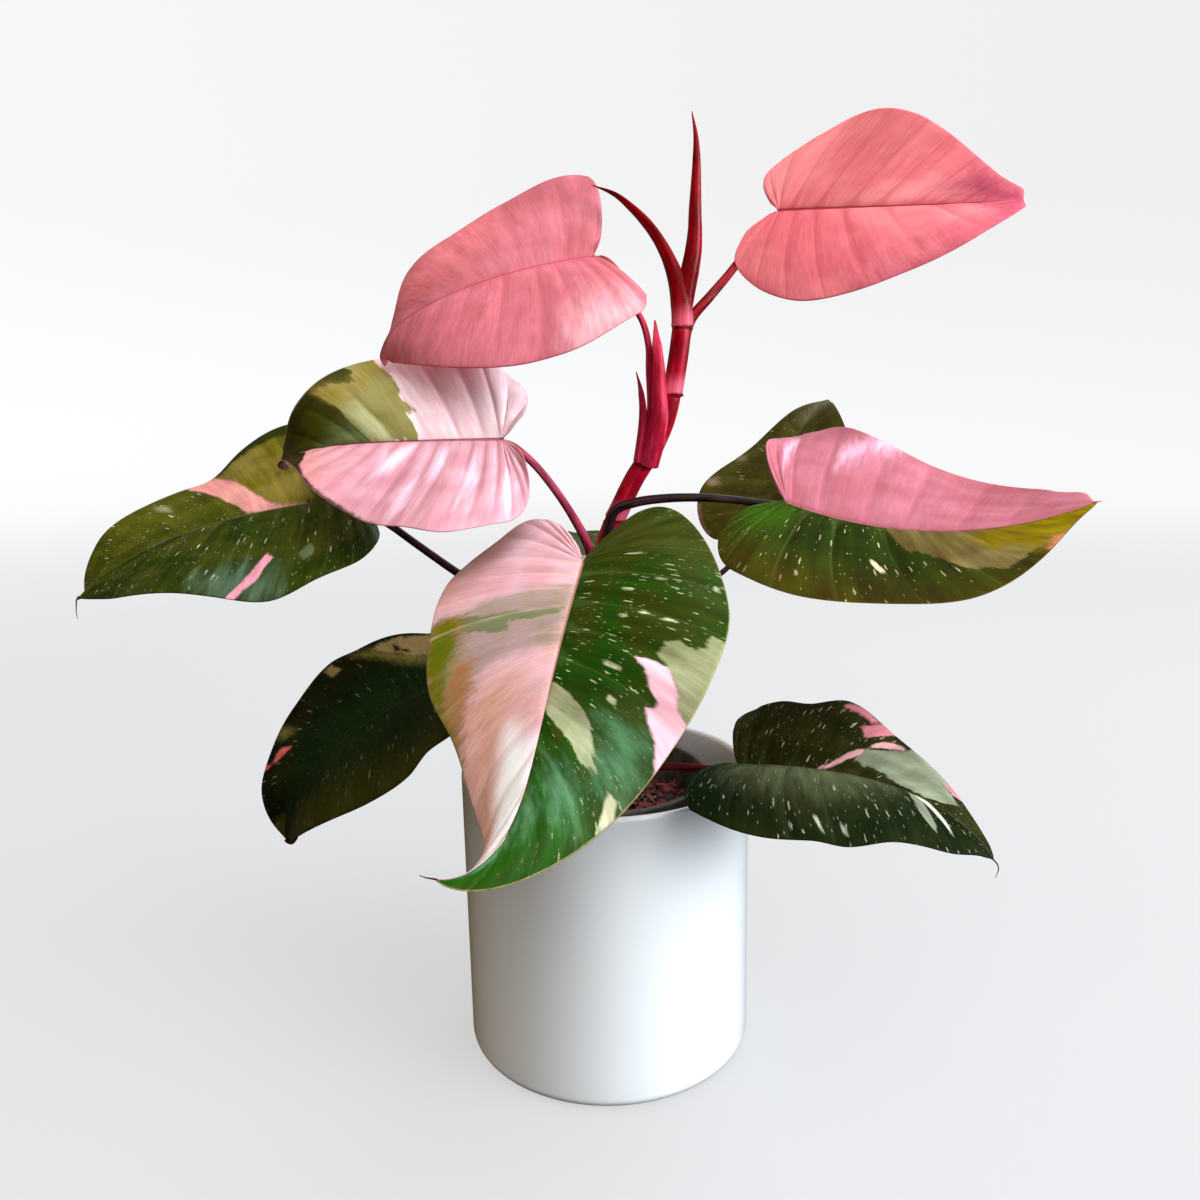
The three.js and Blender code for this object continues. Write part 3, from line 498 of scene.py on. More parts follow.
# at, yaw, pitch, roll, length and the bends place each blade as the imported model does.
# Pairs are [left half, right half], seen from the petiole with the face up.
# tipCurl is the share of the midrib where the tip starts to curl, then degrees down and right.
# edgeWaves are (row, millimetres) by which the edge stands out beyond the heart shape.
# Each mark is painted in one or two tints inside outlines in vein space: (row, out), row from the
# notch to the tip, out to the edge, negative on the left half. soft and ragged are in millimetres.
leaves = {
    "top_right": {
        "at": (93, 12, 440), "yaw": 51, "pitch": -5, "roll": -65, "length": 120,
        "width": (1.03, 0.97), "lean": (0.4, 0.1), "lobe": 0.9, "lobeArch": 6, "arch": 20, "tipArch": 30,
        "sweep": -10, "tipSweep": -18, "tipPower": 2, "twist": -10, "tipFold": 5, "fold": (6, 8),
        "curl": (-17, -22), "wave": ((1.8, 0.59), (1.1, 0.56)), "tipCurl": (0.955, 70, 0),
        "petiole": {"finish": "darkRed", "radii": (3.1, 2.3, 2.1), "path": (
            (43, 1, 377), (48, 3, 388), (57, 6, 398), (67, 14, 409), (77, 21, 421), (87, 22, 433))},
        "edgeWaves": (
            ((.20, 1.5), (.30, -2), (.40, -.5), (.46, 1.5), (.56, 0), (.70, 2), (.84, 0), (.94, 3)),
            ((.15, 1), (.23, -1.5), (.30, .5), (.40, -1.5), (.52, 0), (.67, -1), (.80, -.5), (.93, 2.5))),
        "veinEvery": (.085, .085), "veinLines": (0.6, 0.5), "relief": (0.8, 0.7), "ribShade": (0.32, 0.3),
        "hair": 0.26, "ribWidth": 0.9, "deepen": 1.5, "rough": 0.46,
        "flecks": 0, "under": (226, 120, 130), "rib": (176, 40, 42), "vein": (205, 80, 84),
        "edge": (206, 92, 116),
        "base": (((255, 146, 150), (244, 124, 130)), ((252, 134, 142), (238, 114, 126))),
        "marks": (
            # painted shade: a brownish-red zone where the upper half falls into shade
            patch(7, None, ((206, 98, 100),),
                  ((.48, -1.05), (.48, -.9), (.60, -.75), (.70, -.7), (.76, -.9), (.74, -1.05))),
            # painted shade: darker magenta on the curled tip and a strip of the right edge
            patch(6, None, ((180, 70, 92),),
                  ((.6, 1.05), (.62, .93), (.68, .94), (.78, .9), (.8, 1.05)),
                  ((.80, -.9), (.80, -.4), (.9, 0), (1.02, -.01), (1.02, -1.05), (.82, -1.05)),
                  ((.9, -.01), (.9, .5), (.85, 1.05), (1.02, 1.05), (1.02, -.01))),
        ),
    },
    "top_left": {
        "at": (-1, -9.5, 417), "yaw": -66, "pitch": -8, "roll": 40, "length": 132,
        "width": (1.15, 1.03), "lean": (0, -0.33), "lobe": 0.43, "lobeArch": 9, "arch": 42, "tipArch": 63,
        "sweep": 13, "tipSweep": -7, "tipPower": 4, "twist": 10, "tipFold": -45, "fold": (13, 14),
        "curl": (-18, -10), "wave": ((3.2, 0.99), (4.7, 0.98)), "tipCurl": (0.94, 40, -150),
        "petiole": {"finish": "sheathPink", "radii": (3.6, 1.8, 1.5), "path": (
            (27, -1, 316), (27, -6.5, 331), (27.5, -7, 346), (26.5, -7, 362), (26, -6, 375),
            (22.5, -3, 388), (12, 2, 402), (4, 1, 411))},
        "edgeWaves": (
            ((.12, .8), (.21, -1.5), (.29, 2.5), (.38, -3), (.46, -2.5), (.56, -.3), (.68, 1.2), (.80, 0),
             (.90, 1.5)),
            ((.14, -3), (.25, -1), (.34, 1.5), (.41, -2), (.50, 0), (.60, -1), (.69, -3), (.77, .8),
             (.83, -2.5), (.91, 2))),
        "veinEvery": (.06, .11), "veinLines": (0.4, 0.5), "relief": (0.8, 0.6), "ribShade": (0.5, 0.5),
        "hair": 0.45, "ribWidth": 0.8, "deepen": 1.5, "rough": 0.44,
        "flecks": 0, "under": (216, 118, 130), "rib": (170, 66, 78), "vein": (196, 88, 104),
        "edge": (196, 86, 106),
        "base": (((198, 107, 119), (188, 94, 103)), ((188, 103, 114), (178, 91, 98))),
        "marks": (
            # painted light: a lighter lower part that lifts the shade there
            patch(8, None, ((222, 120, 133),),
                  ((.60, -1.05), (.64, -.66), (.72, -.46), (.85, -.25), (1.02, -.1), (1.02, -1.05))),
            # painted shade: a brownish zone on the upper half toward the tip
            patch(8, None, ((212, 112, 116),),
                  ((.85, 1.05), (.74, 1.05), (.68, .9), (.64, .84), (.67, .64), (.73, .45), (.81, .5))),
            # painted highlight: a whitish patch on the lower half
            patch(5, None, ((250, 184, 190),),
                  ((.52, -.65), (.43, -.80), (.42, -1.05), (.54, -1.05), (.55, -.85))),
        ),
    },
    "mid_left": {
        "at": (-46, -36, 331), "yaw": -97, "pitch": 0, "roll": 55, "length": 128,
        "width": (1.06, 1.07), "lean": (0, 0.46), "lobe": 0.77, "lobeArch": -3, "arch": 13, "tipArch": 19,
        "sweep": 6, "tipSweep": -23, "tipPower": 4, "twist": 4, "tipFold": 27, "fold": (10, 9),
        "curl": (-7, -21), "wave": ((6, 0.74), (7, 0.98)), "tipCurl": (0.92, 115, 0),
        "petiole": {"finish": "redPetiole", "radii": (3.2, 2.2, 2), "path": (
            (0, 1, 252), (-3.5, -4, 264), (-6, -8, 275), (-14, -14, 292), (-23, -20, 307), (-32, -25, 319),
            (-41, -30, 327))},
        "edgeWaves": (
            ((.16, -1), (.26, -1.5), (.34, .5), (.42, -1.8), (.50, 1.5), (.57, -.3), (.66, 1.5), (.74, 2.2),
             (.81, -1)),
            ((.18, -1), (.28, 3), (.34, -1), (.45, -1), (.62, 0), (.75, -1.5), (.86, 0))),
        "veinEvery": (.048, .075), "veinLines": (0.3, 0.22), "relief": (1.25, 1.1), "ribShade": (0.5, 0.3),
        "hair": 0.5, "ribWidth": 0.95, "deepen": 1.5, "rough": 0.4,
        "flecks": 0, "under": (126, 92, 78), "rib": (96, 30, 44), "vein": (206, 112, 136),
        "edge": (196, 120, 130),
        "base": (((224, 166, 176), (212, 144, 156)), ((255, 226, 230), (252, 208, 214))),
        "marks": (
            patch(0.25, 1.1, ((150, 142, 84), (132, 126, 56)),
                  ((.625, 1.05), (.62, .8), (.622, .63), (.63, .47), (.618, .36), (.64, .29), (.64, .1),
                   (.645, -.01), (1.02, -.01), (1.02, 1.05))),
            patch(1.2, 1.0, ((178, 174, 126),),
                  ((.73, .56), (.715, .53), (.70, .13), (.71, .03), (.755, 0), (.755, .18), (.75, .50))),
            patch(0.25, 0.8, ((62, 60, 12), (40, 40, 10)),
                  ((.76, -.01), (.76, .16), (.76, .39), (.752, .58), (.75, .82), (.752, .93), (.73, .92),
                   (.72, .92), (.71, .86), (.69, .80), (.68, .83), (.68, .90), (.67, .92), (.68, 1.05),
                   (1.02, 1.05), (1.02, -.01))),
            patch(1.4, 0.6, ((142, 118, 50),),
                  ((.75, .9), (.75, .93), (.73, .92), (.69, .8), (.66, .93), (.63, .91), (.62, .87),
                   (.67, .74), (.72, .71), (.74, .69), (.75, .70))),
            patch(4, None, ((116, 132, 78),),
                  ((.86, 0), (.80, .28), (.765, .3), (.76, .13), (.755, 0))),
            patch(7, None, ((206, 132, 126),),
                  ((.92, -.05), (.82, -.37), (.76, -.73), (.74, -1.05), (.82, -1.05))),
            # painted highlights: pale sheen streaks along the veins of the lower half
            patch(1.6, 0.9, ((248, 212, 232),),
                  ((.375, -.25), (.365, -.55), (.385, -.92), (.40, -.55)),
                  ((.285, -.3), (.28, -.7), (.30, -.85), (.30, -.4)),
                  ((.49, -.2), (.48, -.45), (.50, -.7), (.51, -.4)),
                  ((.60, -.5), (.59, -.75), (.605, -.93), (.615, -.7)),
                  ((.655, -.10), (.66, -.42), (.69, -.55), (.70, -.25)),
                  ((.565, -.12), (.56, -.3), (.58, -.42), (.585, -.2))),
            # painted shadow: a near-black band along the lower half's edge and over the tip
            patch(0.3, 0.25, ((46, 36, 14),),
                  ((1.02, 1.05), (.965, 1.05), (.955, .02), (.93, -.02), (.80, -.92), (.77, -.96),
                   (.74, -.965), (.70, -.97), (.66, -.98), (.62, -1), (.6, -1.05), (1.02, -1.05))),
        ),
    },
    "far_left": {
        "at": (-133, 5, 300), "yaw": -82, "pitch": -3, "roll": 33, "length": 158,
        "width": (1.01, 1.01), "lean": (0, 0.07), "lobe": 0.69, "lobeArch": 12, "arch": 25, "tipArch": 17,
        "sweep": -8, "tipSweep": -2, "tipPower": 2, "twist": 9, "tipFold": -4, "fold": (6, 7),
        "curl": (-9, -20), "wave": ((3.6, 0.1), (8.6, 0.76)),
        "petiole": {"finish": "darkPetiole", "radii": (3.6, 2.4, 2), "path": (
            (-4, 0, 204), (-22, 1, 222), (-51, 3, 243), (-78, 6, 261), (-96, 8, 274), (-112, 9, 286),
            (-126, 9, 295))},
        "edgeWaves": (
            ((.28, -3), (.38, 0), (.47, -3.5), (.55, 1.5), (.63, -.5), (.78, 1), (.90, 1)),
            ((.50, 0), (.59, 3), (.65, -3), (.70, 2), (.77, 0), (.84, 0), (.91, 3))),
        "veinEvery": (.06, .07), "veinLines": (0.18, 0.12), "relief": (0.6, 0.5), "ribShade": (1.5, 1.3),
        "ribWidth": 0.7, "rough": 0.33, "shine": 0.05,
        "flecks": 0.55, "fleck": (206, 206, 180), "under": (92, 84, 52), "rib": (98, 104, 66),
        "vein": (104, 110, 76), "edge": (30, 24, 10),
        "base": (((30, 48, 5), (60, 64, 14)), ((80, 80, 18), (60, 66, 10))),
        "marks": (
            patch(0.3, 1.2, ((104, 96, 18), (134, 118, 52)),
                  ((.65, 1.05), (.60, 1.05), (.57, .88), (.57, .96), (.55, .92), (.54, .86), (.54, .73),
                   (.54, .55), (.53, .38), (.50, .03), (.58, .02), (.60, .09), (.62, .25), (.63, .46),
                   (.64, .67))),
            patch(0.4, 0.7, ((42, 50, 10),),
                  ((.49, .84), (.53, .88), (.57, .9), (.61, .92), (.645, .93), (.645, 1.05), (.48, 1.05))),
            patch(0.5, 0.5, ((230, 160, 146), (222, 140, 140)),
                  ((.68, 1.05), (.65, 1.05), (.64, .67), (.63, .46), (.62, .25), (.60, .09), (.58, .02),
                   (.51, -.01), (.61, -.01), (.65, .02), (.655, .09), (.67, .30), (.68, .55), (.69, .87))),
            # painted sheen: grey-green reflections near the lower edge
            patch(2.5, 3, ((76, 98, 74),),
                  ((.68, -.8), (.62, -.74), (.59, -.72), (.59, -.9), (.62, -1), (.66, -.98)),
                  ((.58, -.76), (.55, -.80), (.53, -.91), (.55, -1), (.58, -1)), grain=0.4),
            patch(0.25, 0.35, ((228, 150, 166),),
                  ((.575, -.56), (.56, -.62), (.57, -.69), (.575, -.81), (.59, -.90), (.60, -1.05),
                   (.615, -1.05), (.60, -.87), (.59, -.75), (.585, -.64))),
            patch(0.3, 0.3, ((100, 112, 78),),
                  ((.52, -.60), (.50, -.53), (.49, -.59), (.49, -.67), (.505, -.70), (.515, -.64))),
            patch(0.8, 0.2, ((128, 126, 92),),
                  ((.745, .55), (.735, .7), (.745, .85), (.752, .7))),
        ),
    },
    "low_left": {
        "at": (-79, -27, 208), "yaw": -73, "pitch": -14, "roll": 14, "length": 136,
        "width": (1, 1.01), "lean": (0.05, 0), "lobe": 1, "lobeArch": 10, "arch": 46, "tipArch": 46,
        "sweep": -7, "tipSweep": -3, "tipPower": 2, "twist": 36, "tipFold": 7, "fold": (11, 12),
        "curl": (-9, -18), "wave": ((3.1, 0.9), (2, 0.74)),
        "petiole": {"finish": "darkPetiole", "radii": (3.6, 2.4, 2), "path": (
            (-5, 0, 158), (-22, -6, 175), (-42, -14, 190), (-60, -21, 200), (-73, -25, 204))},
        "edgeWaves": (
            ((.45, 2), (.50, -1.5), (.54, 2), (.62, .3), (.78, 1)),
            ((.46, -.3), (.55, -3), (.60, .8), (.68, -1.5), (.75, -2), (.82, .5))),
        "veinEvery": (.07, .07), "veinLines": (0.2, 0.15), "relief": (0.6, 0.5), "ribShade": (0.9, 0.9),
        "ribWidth": 0.7, "rough": 0.36, "shine": 0.025,
        "flecks": 0.6, "fleck": (116, 114, 96), "under": (52, 40, 26), "rib": (34, 48, 24),
        "vein": (36, 42, 20), "edge": (26, 16, 10),
        "base": (((12, 20, 10), (22, 24, 8)), ((14, 20, 8), (28, 25, 6))),
        "marks": (
            patch(9, None, ((18, 36, 11),),
                  ((.25, -.01), (.9, -.01), (.8, .32), (.4, .4)),
                  ((.25, .01), (.9, .01), (.8, -.35), (.4, -.3))),
            patch(6, None, ((52, 50, 10),),
                  ((.3, -.75), (.55, -.8), (.8, -.7), (.85, -1.05), (.3, -1.05))),
            patch(2.0, 3.5, ((84, 76, 30),),
                  ((.93, .05), (1.02, -.01), (1.02, 1.05), (.90, 1.05), (.90, .6)), grain=0.7),
            patch(1.6, 0.8, ((112, 102, 48),),
                  ((.57, .97), (.54, .85), (.52, .71), (.46, .50), (.42, .4), (.43, .34), (.47, .40),
                   (.51, .51), (.54, .71), (.56, .85)),
                  ((.73, .98), (.72, .94), (.72, .81), (.73, .78), (.735, .89))),
            patch(0.4, 0.8, ((142, 118, 74),),
                  ((.52, .93), (.49, .93), (.47, .90), (.43, .95), (.40, .9), (.42, .6), (.46, .51),
                   (.49, .56), (.50, .63), (.52, .73), (.54, .85)),
                  ((.61, 1), (.60, .96), (.60, .82), (.61, .79), (.62, .85), (.615, .95))),
            patch(0.3, 0.3, ((30, 30, 10),),
                  ((.505, .83), (.495, .82), (.50, .74), (.48, .63), (.485, .6), (.51, .71))),
            patch(0.4, 0.5, ((198, 92, 88),),
                  ((.775, .87), (.76, .89), (.75, .83), (.75, .68), (.76, .72), (.775, .82), (.785, 1.02),
                   (.775, 1.02))),
            patch(1.0, None, ((104, 52, 44),),
                  ((.985, -.01), (.985, 1.05), (1.02, 1.05), (1.02, -.01)),
                  ((.985, -1.05), (.985, .01), (1.02, .01), (1.02, -1.05))),
        ),
    },
    "front": {
        "at": (-7, -81, 278), "yaw": -15, "pitch": -36, "roll": -5, "length": 168,
        "width": (1.02, 1.03), "lean": (0.2, -0.09), "lobe": 1.1, "lobeArch": 12, "arch": 2, "tipArch": -42,
        "sweep": -7, "tipSweep": 88, "tipPower": 7, "twist": -11, "tipFold": -54, "fold": (12, 0),
        "curl": (-25, -13), "wave": ((4.3, 0.53), (2.4, 0.58)),
        "petiole": {"finish": "darkPetiole", "radii": (3.6, 2.5, 2), "path": (
            (-2, 0, 208), (1, -12, 228), (2, -30, 251), (0, -50, 268), (-3, -67, 275), (-6, -76, 276))},
        "edgeWaves": (
            ((.12, -1.5), (.20, 1.5), (.30, .5), (.42, -1), (.55, 0), (.72, -.3), (.82, -1.2), (.92, .3)),
            ((.20, 1), (.28, 1.5), (.36, -1.5), (.45, 2.5), (.53, 0), (.60, 3), (.67, -1.5), (.76, 2.5),
             (.86, -1.5))),
        "veinEvery": (.065, .05), "veinLines": (0.16, 0.3), "relief": (1.1, 1.3), "ribShade": (1.2, 0.35),
        "ribWidth": 0.8, "ribUntil": 0.66, "veinsOver": True, "deepen": 1.2, "rough": 0.3, "shine": 0.06,
        "flecks": 1, "fleckHalf": 0, "fleck": (198, 198, 152), "under": (150, 112, 96),
        "rib": (184, 112, 104), "vein": (96, 118, 60), "veinRight": (244, 202, 182),
        "edge": (168, 150, 104), "base": (((48, 58, 6), (26, 62, 4)), ((232, 184, 194), (224, 166, 172))),
        "marks": (
            patch(9, None, ((30, 74, 6),),
                  ((.80, -.01), (.78, -.4), (.80, -.8), (.84, -1.05), (1.02, -1.05), (1.02, -.01))),
            patch(9, None, ((58, 62, 12),),
                  ((.08, -.01), (.08, -1.05), (.42, -1.05), (.40, -.6), (.44, -.2), (.42, -.01))),
            # painted sheen: blue-green reflections in streaks on the green half
            patch(4.0, 3.6, ((78, 120, 82),),
                  ((.70, -.62), (.69, -.84), (.73, -.93), (.75, -.80), (.74, -.66)),
                  ((.79, -.30), (.78, -.60), (.80, -.78), (.82, -.60), (.82, -.36)),
                  ((.90, -.05), (.89, -.22), (.95, -.3), (.97, -.12)),
                  ((.855, -.10), (.85, -.34), (.868, -.42), (.875, -.2)), grain=0.5),
            patch(5, None, ((220, 162, 146),),
                  ((.30, 1.05), (.34, .93), (.42, .84), (.50, .9), (.50, 1.05))),
            patch(5, None, ((214, 158, 136), (226, 172, 158)),
                  ((.64, .35), (.66, .95), (.72, 1.05), (.84, 1.05), (.86, .8), (.80, .6), (.74, .38),
                   (.69, .28))),
            patch(1.6, 1.2, ((180, 150, 148), (166, 146, 126)),
                  ((.49, .0), (.50, .26), (.51, .51), (.52, .72), (.54, .87), (.55, 1.05), (.66, 1.05),
                   (.66, .94), (.65, .85), (.64, .75), (.62, .59), (.62, .41), (.62, .21), (.63, -.02),
                   (.49, -.02))),
            patch(0.3, 0.9, ((122, 126, 90),),
                  ((.545, .05), (.545, .25), (.54, .5), (.535, .7), (.53, .78), (.555, .76), (.575, .48),
                   (.575, .4), (.56, .42), (.565, .21), (.56, .06))),
            patch(1.4, 1.4, ((128, 108, 22), (98, 112, 14)),
                  ((.53, 1.05), (.52, .90), (.53, .74), (.57, .74), (.59, .80), (.62, .86), (.66, .92),
                   (.70, .98), (.70, 1.05))),
            patch(1.5, 2.2, ((172, 120, 74),),
                  ((.585, .78), (.60, .66), (.64, .72), (.66, .84), (.68, .93), (.67, .96), (.63, .90),
                   (.61, .84))),
            # partly the pale skin of this half, mostly a painted highlight in near-white
            patch(3.0, 0.6, ((255, 252, 253),),
                  ((.72, .42), (.78, .08), (.80, -.01), (.97, -.01), (.97, .4), (.88, .75),
                   (.80, .7)), grain=0.3),
            patch(0.3, 0.5, ((142, 148, 108), (164, 162, 128)),
                  ((.695, 0), (.70, -.18), (.71, -.4), (.73, -.53), (.74, -.63), (.735, -.72), (.742, -.56),
                   (.75, -.70), (.76, -.57), (.755, -.41), (.75, -.18), (.745, -.04), (.74, 0))),
            patch(0.3, 0.6, ((138, 142, 96), (156, 156, 118)),
                  ((.575, -.70), (.565, -.76), (.57, -.85), (.56, -.92), (.54, -.91), (.545, -1.05),
                   (.66, -1.05), (.64, -.92), (.62, -.85), (.605, -.77), (.595, -.68))),
            patch(0.3, 0.4, ((250, 190, 202),),
                  ((.61, -.55), (.605, -.68), (.605, -.77), (.62, -.85), (.64, -.92), (.65, -1.05),
                   (.71, -1.05), (.685, -.94), (.675, -.87), (.67, -.8), (.655, -.74), (.655, -.80),
                   (.645, -.80), (.64, -.74), (.62, -.64))),
            patch(0.3, 0.2, ((204, 204, 166),),
                  ((.75, -.84), (.745, -.92), (.755, -1), (.775, -.98), (.762, -.9)),
                  ((.463, -.53), (.468, -.53), (.468, -.60), (.463, -.60)),
                  ((.538, -.64), (.543, -.64), (.543, -.72), (.538, -.72)),
                  ((.538, -.48), (.543, -.48), (.543, -.55), (.538, -.55)),
                  ((.632, -.37), (.638, -.37), (.638, -.50), (.632, -.50)),
                  ((.672, -.50), (.68, -.50), (.68, -.56), (.672, -.56)),
                  ((.403, -.33), (.408, -.33), (.408, -.45), (.403, -.45)),
                  ((.452, -.92), (.462, -.92), (.462, -.95), (.452, -.95)),
                  ((.553, -.36), (.557, -.36), (.557, -.42), (.553, -.42)),
                  ((.498, -.33), (.503, -.33), (.503, -.41), (.498, -.41))),
        ),
    },
    "right": {
        "at": (93, -20, 297), "yaw": 75, "pitch": -21, "roll": -41, "length": 153,
        "width": (1.01, 1.02), "lean": (-0.13, -0.13), "lobe": 0.62, "lobeArch": 22, "arch": -13,
        "tipArch": -4, "sweep": -44, "tipSweep": 2, "tipPower": 2, "twist": -7, "tipFold": -1,
        "fold": (8, 13), "curl": (-26, -3), "wave": ((5.4, 0.57), (2.4, 0.56)),
        "petiole": {"finish": "darkPetiole", "radii": (3.4, 2.5, 1.9), "path": (
            (2, -2, 246), (3, -9, 262), (4, -10, 280), (8, -11, 293), (18, -12, 297), (34, -13, 299),
            (54, -14, 299), (74, -16, 297), (88, -18, 295))},
        "edgeWaves": (
            ((.11, -1.5), (.16, .5), (.24, 3), (.35, .5), (.42, -1.5), (.49, 3), (.57, -1.8), (.70, 1.5),
             (.82, -1.5), (.87, 0), (.93, 4)),
            ((.25, -1), (.35, .8), (.50, .3), (.61, -2), (.70, .8), (.85, -1.2))),
        "veinEvery": (.085, .075), "veinLines": (0.45, 0.2), "relief": (1.2, 1.6), "ribShade": (0.35, 1.5),
        "ribWidth": 0.7, "deepen": 1.3, "rough": 0.38, "shine": 0.025,
        "flecks": 0.55, "fleckHalf": 1, "fleck": (222, 204, 160), "under": (150, 90, 80),
        "rib": (120, 52, 48), "vein": (196, 100, 124), "veinRight": (112, 122, 66), "edge": (214, 130, 140),
        "edgeRight": (92, 70, 30), "base": (((188, 113, 127), (176, 98, 108)), ((36, 50, 2), (28, 42, 1))),
        "marks": (
            patch(8, None, ((50, 82, 6),),
                  ((.2, .9), (.2, .3), (.28, .12), (.44, .19), (.44, .41), (.37, .61))),
            patch(7, None, ((60, 44, 3),),
                  ((.25, 1.05), (.35, .9), (.42, .7), (.48, .75), (.60, .85), (.75, .9), (.85, .9),
                   (.85, 1.05))),
            patch(0.3, 0.9, ((96, 82, 40), (112, 95, 56)),
                  ((.65, -.01), (.68, -.01), (1.02, -.01), (1.02, 1.05), (.87, 1.05), (.81, .84),
                   (.76, .86), (.74, .72), (.72, .61), (.71, .50), (.69, .39), (.67, .34), (.66, .18))),
            patch(3, 1.0, ((122, 104, 4),),
                  ((.79, .13), (.86, 0), (1.02, -.01), (1.02, 1.05), (.87, 1.05), (.82, .92), (.81, .84),
                   (.80, .53), (.78, .5), (.78, .27))),
            patch(1.4, 1.6, ((208, 122, 88),),
                  ((.815, .95), (.845, .93), (.86, 1.05), (.82, 1.05))),
            # painted highlights: pale pink sheen streaks on the pink half
            patch(3.0, 2.5, ((246, 190, 212),),
                  ((.525, -.58), (.54, -.62), (.60, -.95), (.625, -1.0), (.60, -1.02), (.56, -.85)),
                  ((.36, -.35), (.37, -.62), (.40, -.85), (.42, -.8), (.40, -.55)), grain=0.5),
            patch(0.3, 0.2, ((226, 200, 160),),
                  ((.608, .49), (.616, .52), (.624, .63), (.618, .66), (.61, .58))),
        ),
    },
    "back_right": {
        "at": (96, 54, 286), "yaw": 154, "pitch": 42, "roll": 11, "length": 114,
        "width": (1.03, 0.98), "lean": (0, 0), "lobe": 1.02, "lobeArch": 10, "arch": 16, "tipArch": 7,
        "sweep": 4, "tipSweep": 2, "tipPower": 2, "twist": 9, "tipFold": -2, "fold": (9, 9),
        "curl": (-13, -14), "wave": ((3.4, 0.71), (2.1, 0.93)), "tipCurl": (0.95, 70, 0),
        "petiole": {"finish": "darkPetiole", "radii": (3, 1.7, 1.5), "path": (
            (-1, 1, 214), (18, 8, 224), (46, 24, 240), (70, 38, 254), (86, 48, 268), (93, 53, 280))},
        "veinEvery": (.08, .08), "veinLines": (0.2, 0.2), "relief": (0.6, 0.6), "ribShade": (0.9, 0.9),
        "ribWidth": 0.7, "rough": 0.4, "shine": 0.04,
        "flecks": 0.5, "fleck": (170, 158, 126), "under": (84, 66, 48), "rib": (84, 76, 44),
        "vein": (88, 86, 52), "edge": (44, 26, 18),
        "base": (((74, 72, 20), (62, 56, 13)), ((70, 70, 18), (60, 56, 13))),
        "marks": (
            patch(6, None, ((104, 98, 72),),
                  ((.85, 0), (.95, 0), (.95, .2), (.86, .3)),
                  ((.85, 0), (.85, -.3), (.95, -.2), (.95, 0))),
            patch(0.8, 0.6, ((142, 120, 90),),
                  ((.65, -.97), (.66, -.85), (.64, -.75), (.63, -.9)),
                  ((.54, -.97), (.56, -.9), (.53, -.77), (.52, -.9))),
            patch(0.8, 0.4, ((168, 116, 110),),
                  ((.35, -.97), (.46, -.97), (.46, -1.05), (.35, -1.05))),
        ),
    },
    "low_right": {
        "at": (68, -40, 167), "yaw": 57, "pitch": 11, "roll": -8, "length": 133,
        "width": (1, 1.31), "lean": (-0.11, 0.1), "lobe": 0.39, "lobeArch": 10, "arch": 25, "tipArch": 48,
        "sweep": -8, "tipSweep": 10, "tipPower": 2, "twist": -8, "tipFold": -31, "fold": (20, 30),
        "curl": (-10, -48), "wave": ((2.4, 0.37), (1, 0.13)),
        "petiole": {"finish": "shadedPetiole", "radii": (3.2, 2.2, 2), "path": (
            (-4, 0, 140), (12, -5, 150), (30, -14, 157), (47, -24, 160), (61, -34, 162))},
        "edgeWaves": (
            ((.13, -1), (.30, .5), (.40, -2), (.46, 2), (.54, -4.5), (.60, 2), (.69, -3), (.80, 0),
             (.93, -1)),
            ((.25, 1.5), (.42, -1), (.55, .5), (.61, -.3), (.66, 2.5), (.73, -.5), (.84, 2), (.93, 1))),
        "veinEvery": (.07, .08), "veinLines": (0.15, 0.12), "relief": (0.7, 0.9), "ribShade": (1.0, 1.0),
        "ribWidth": 0.8, "rough": 0.42, "shine": 0.012,
        "flecks": 0.75, "fleck": (168, 168, 142), "under": (70, 56, 40), "rib": (88, 86, 64),
        "vein": (78, 82, 58), "edge": (34, 22, 16),
        "base": (((32, 33, 8), (42, 42, 12)), ((14, 26, 7), (28, 33, 11))),
        "marks": (
            # painted sheen: a grey-green band along the midrib of the right half
            patch(5, 3, ((88, 94, 62),),
                  ((.45, .3), (.6, .02), (.76, .02), (.77, .10), (.65, .4), (.58, .45)), grain=0.4),
            patch(0.35, 0.7, ((130, 136, 112), (108, 112, 90)),
                  ((.69, -.51), (.71, -.64), (.72, -.89), (.725, -1.05), (.79, -1.05), (.81, -.83),
                   (.85, -.76), (.86, -.35), (.845, -.1), (.80, -.1), (.76, -.2), (.73, -.25), (.71, -.22),
                   (.69, -.30))),
            patch(0.3, 0.4, ((128, 132, 110),),
                  ((.82, 0), (.84, 0), (.83, .34), (.82, .68), (.81, .8), (.802, .67), (.80, .50),
                   (.81, .26))),
            patch(0.3, 0.4, ((204, 150, 152),),
                  ((.64, 0), (.66, -.12), (.67, -.29), (.68, -.44), (.69, -.50), (.693, -.38), (.685, -.26),
                   (.675, -.13), (.66, -.03)),
                  ((.69, -.56), (.69, -.70), (.70, -.83), (.71, -.92), (.72, -.89), (.705, -.68))),
            patch(0.3, 0.4, ((204, 124, 132),),
                  ((.65, -.78), (.66, -.90), (.665, -1.05), (.695, -1.05), (.68, -.80), (.67, -.66),
                   (.66, -.75)),
                  ((.60, -.92), (.61, -.97), (.64, -1), (.66, -.97), (.655, -.92), (.62, -.90)),
                  ((.79, -.9), (.79, -1.05), (.83, -1.05), (.82, -.84))),
            patch(0.3, 0.15, ((206, 202, 182),),
                  ((.832, 0), (.84, 0), (.85, .14), (.855, .52), (.85, .8), (.845, .59), (.838, .29)),
                  ((.622, .82), (.626, .82), (.632, .92), (.628, .92)),
                  ((.656, .84), (.66, .84), (.664, .92), (.66, .92))),
        ),
    },
    "back": {
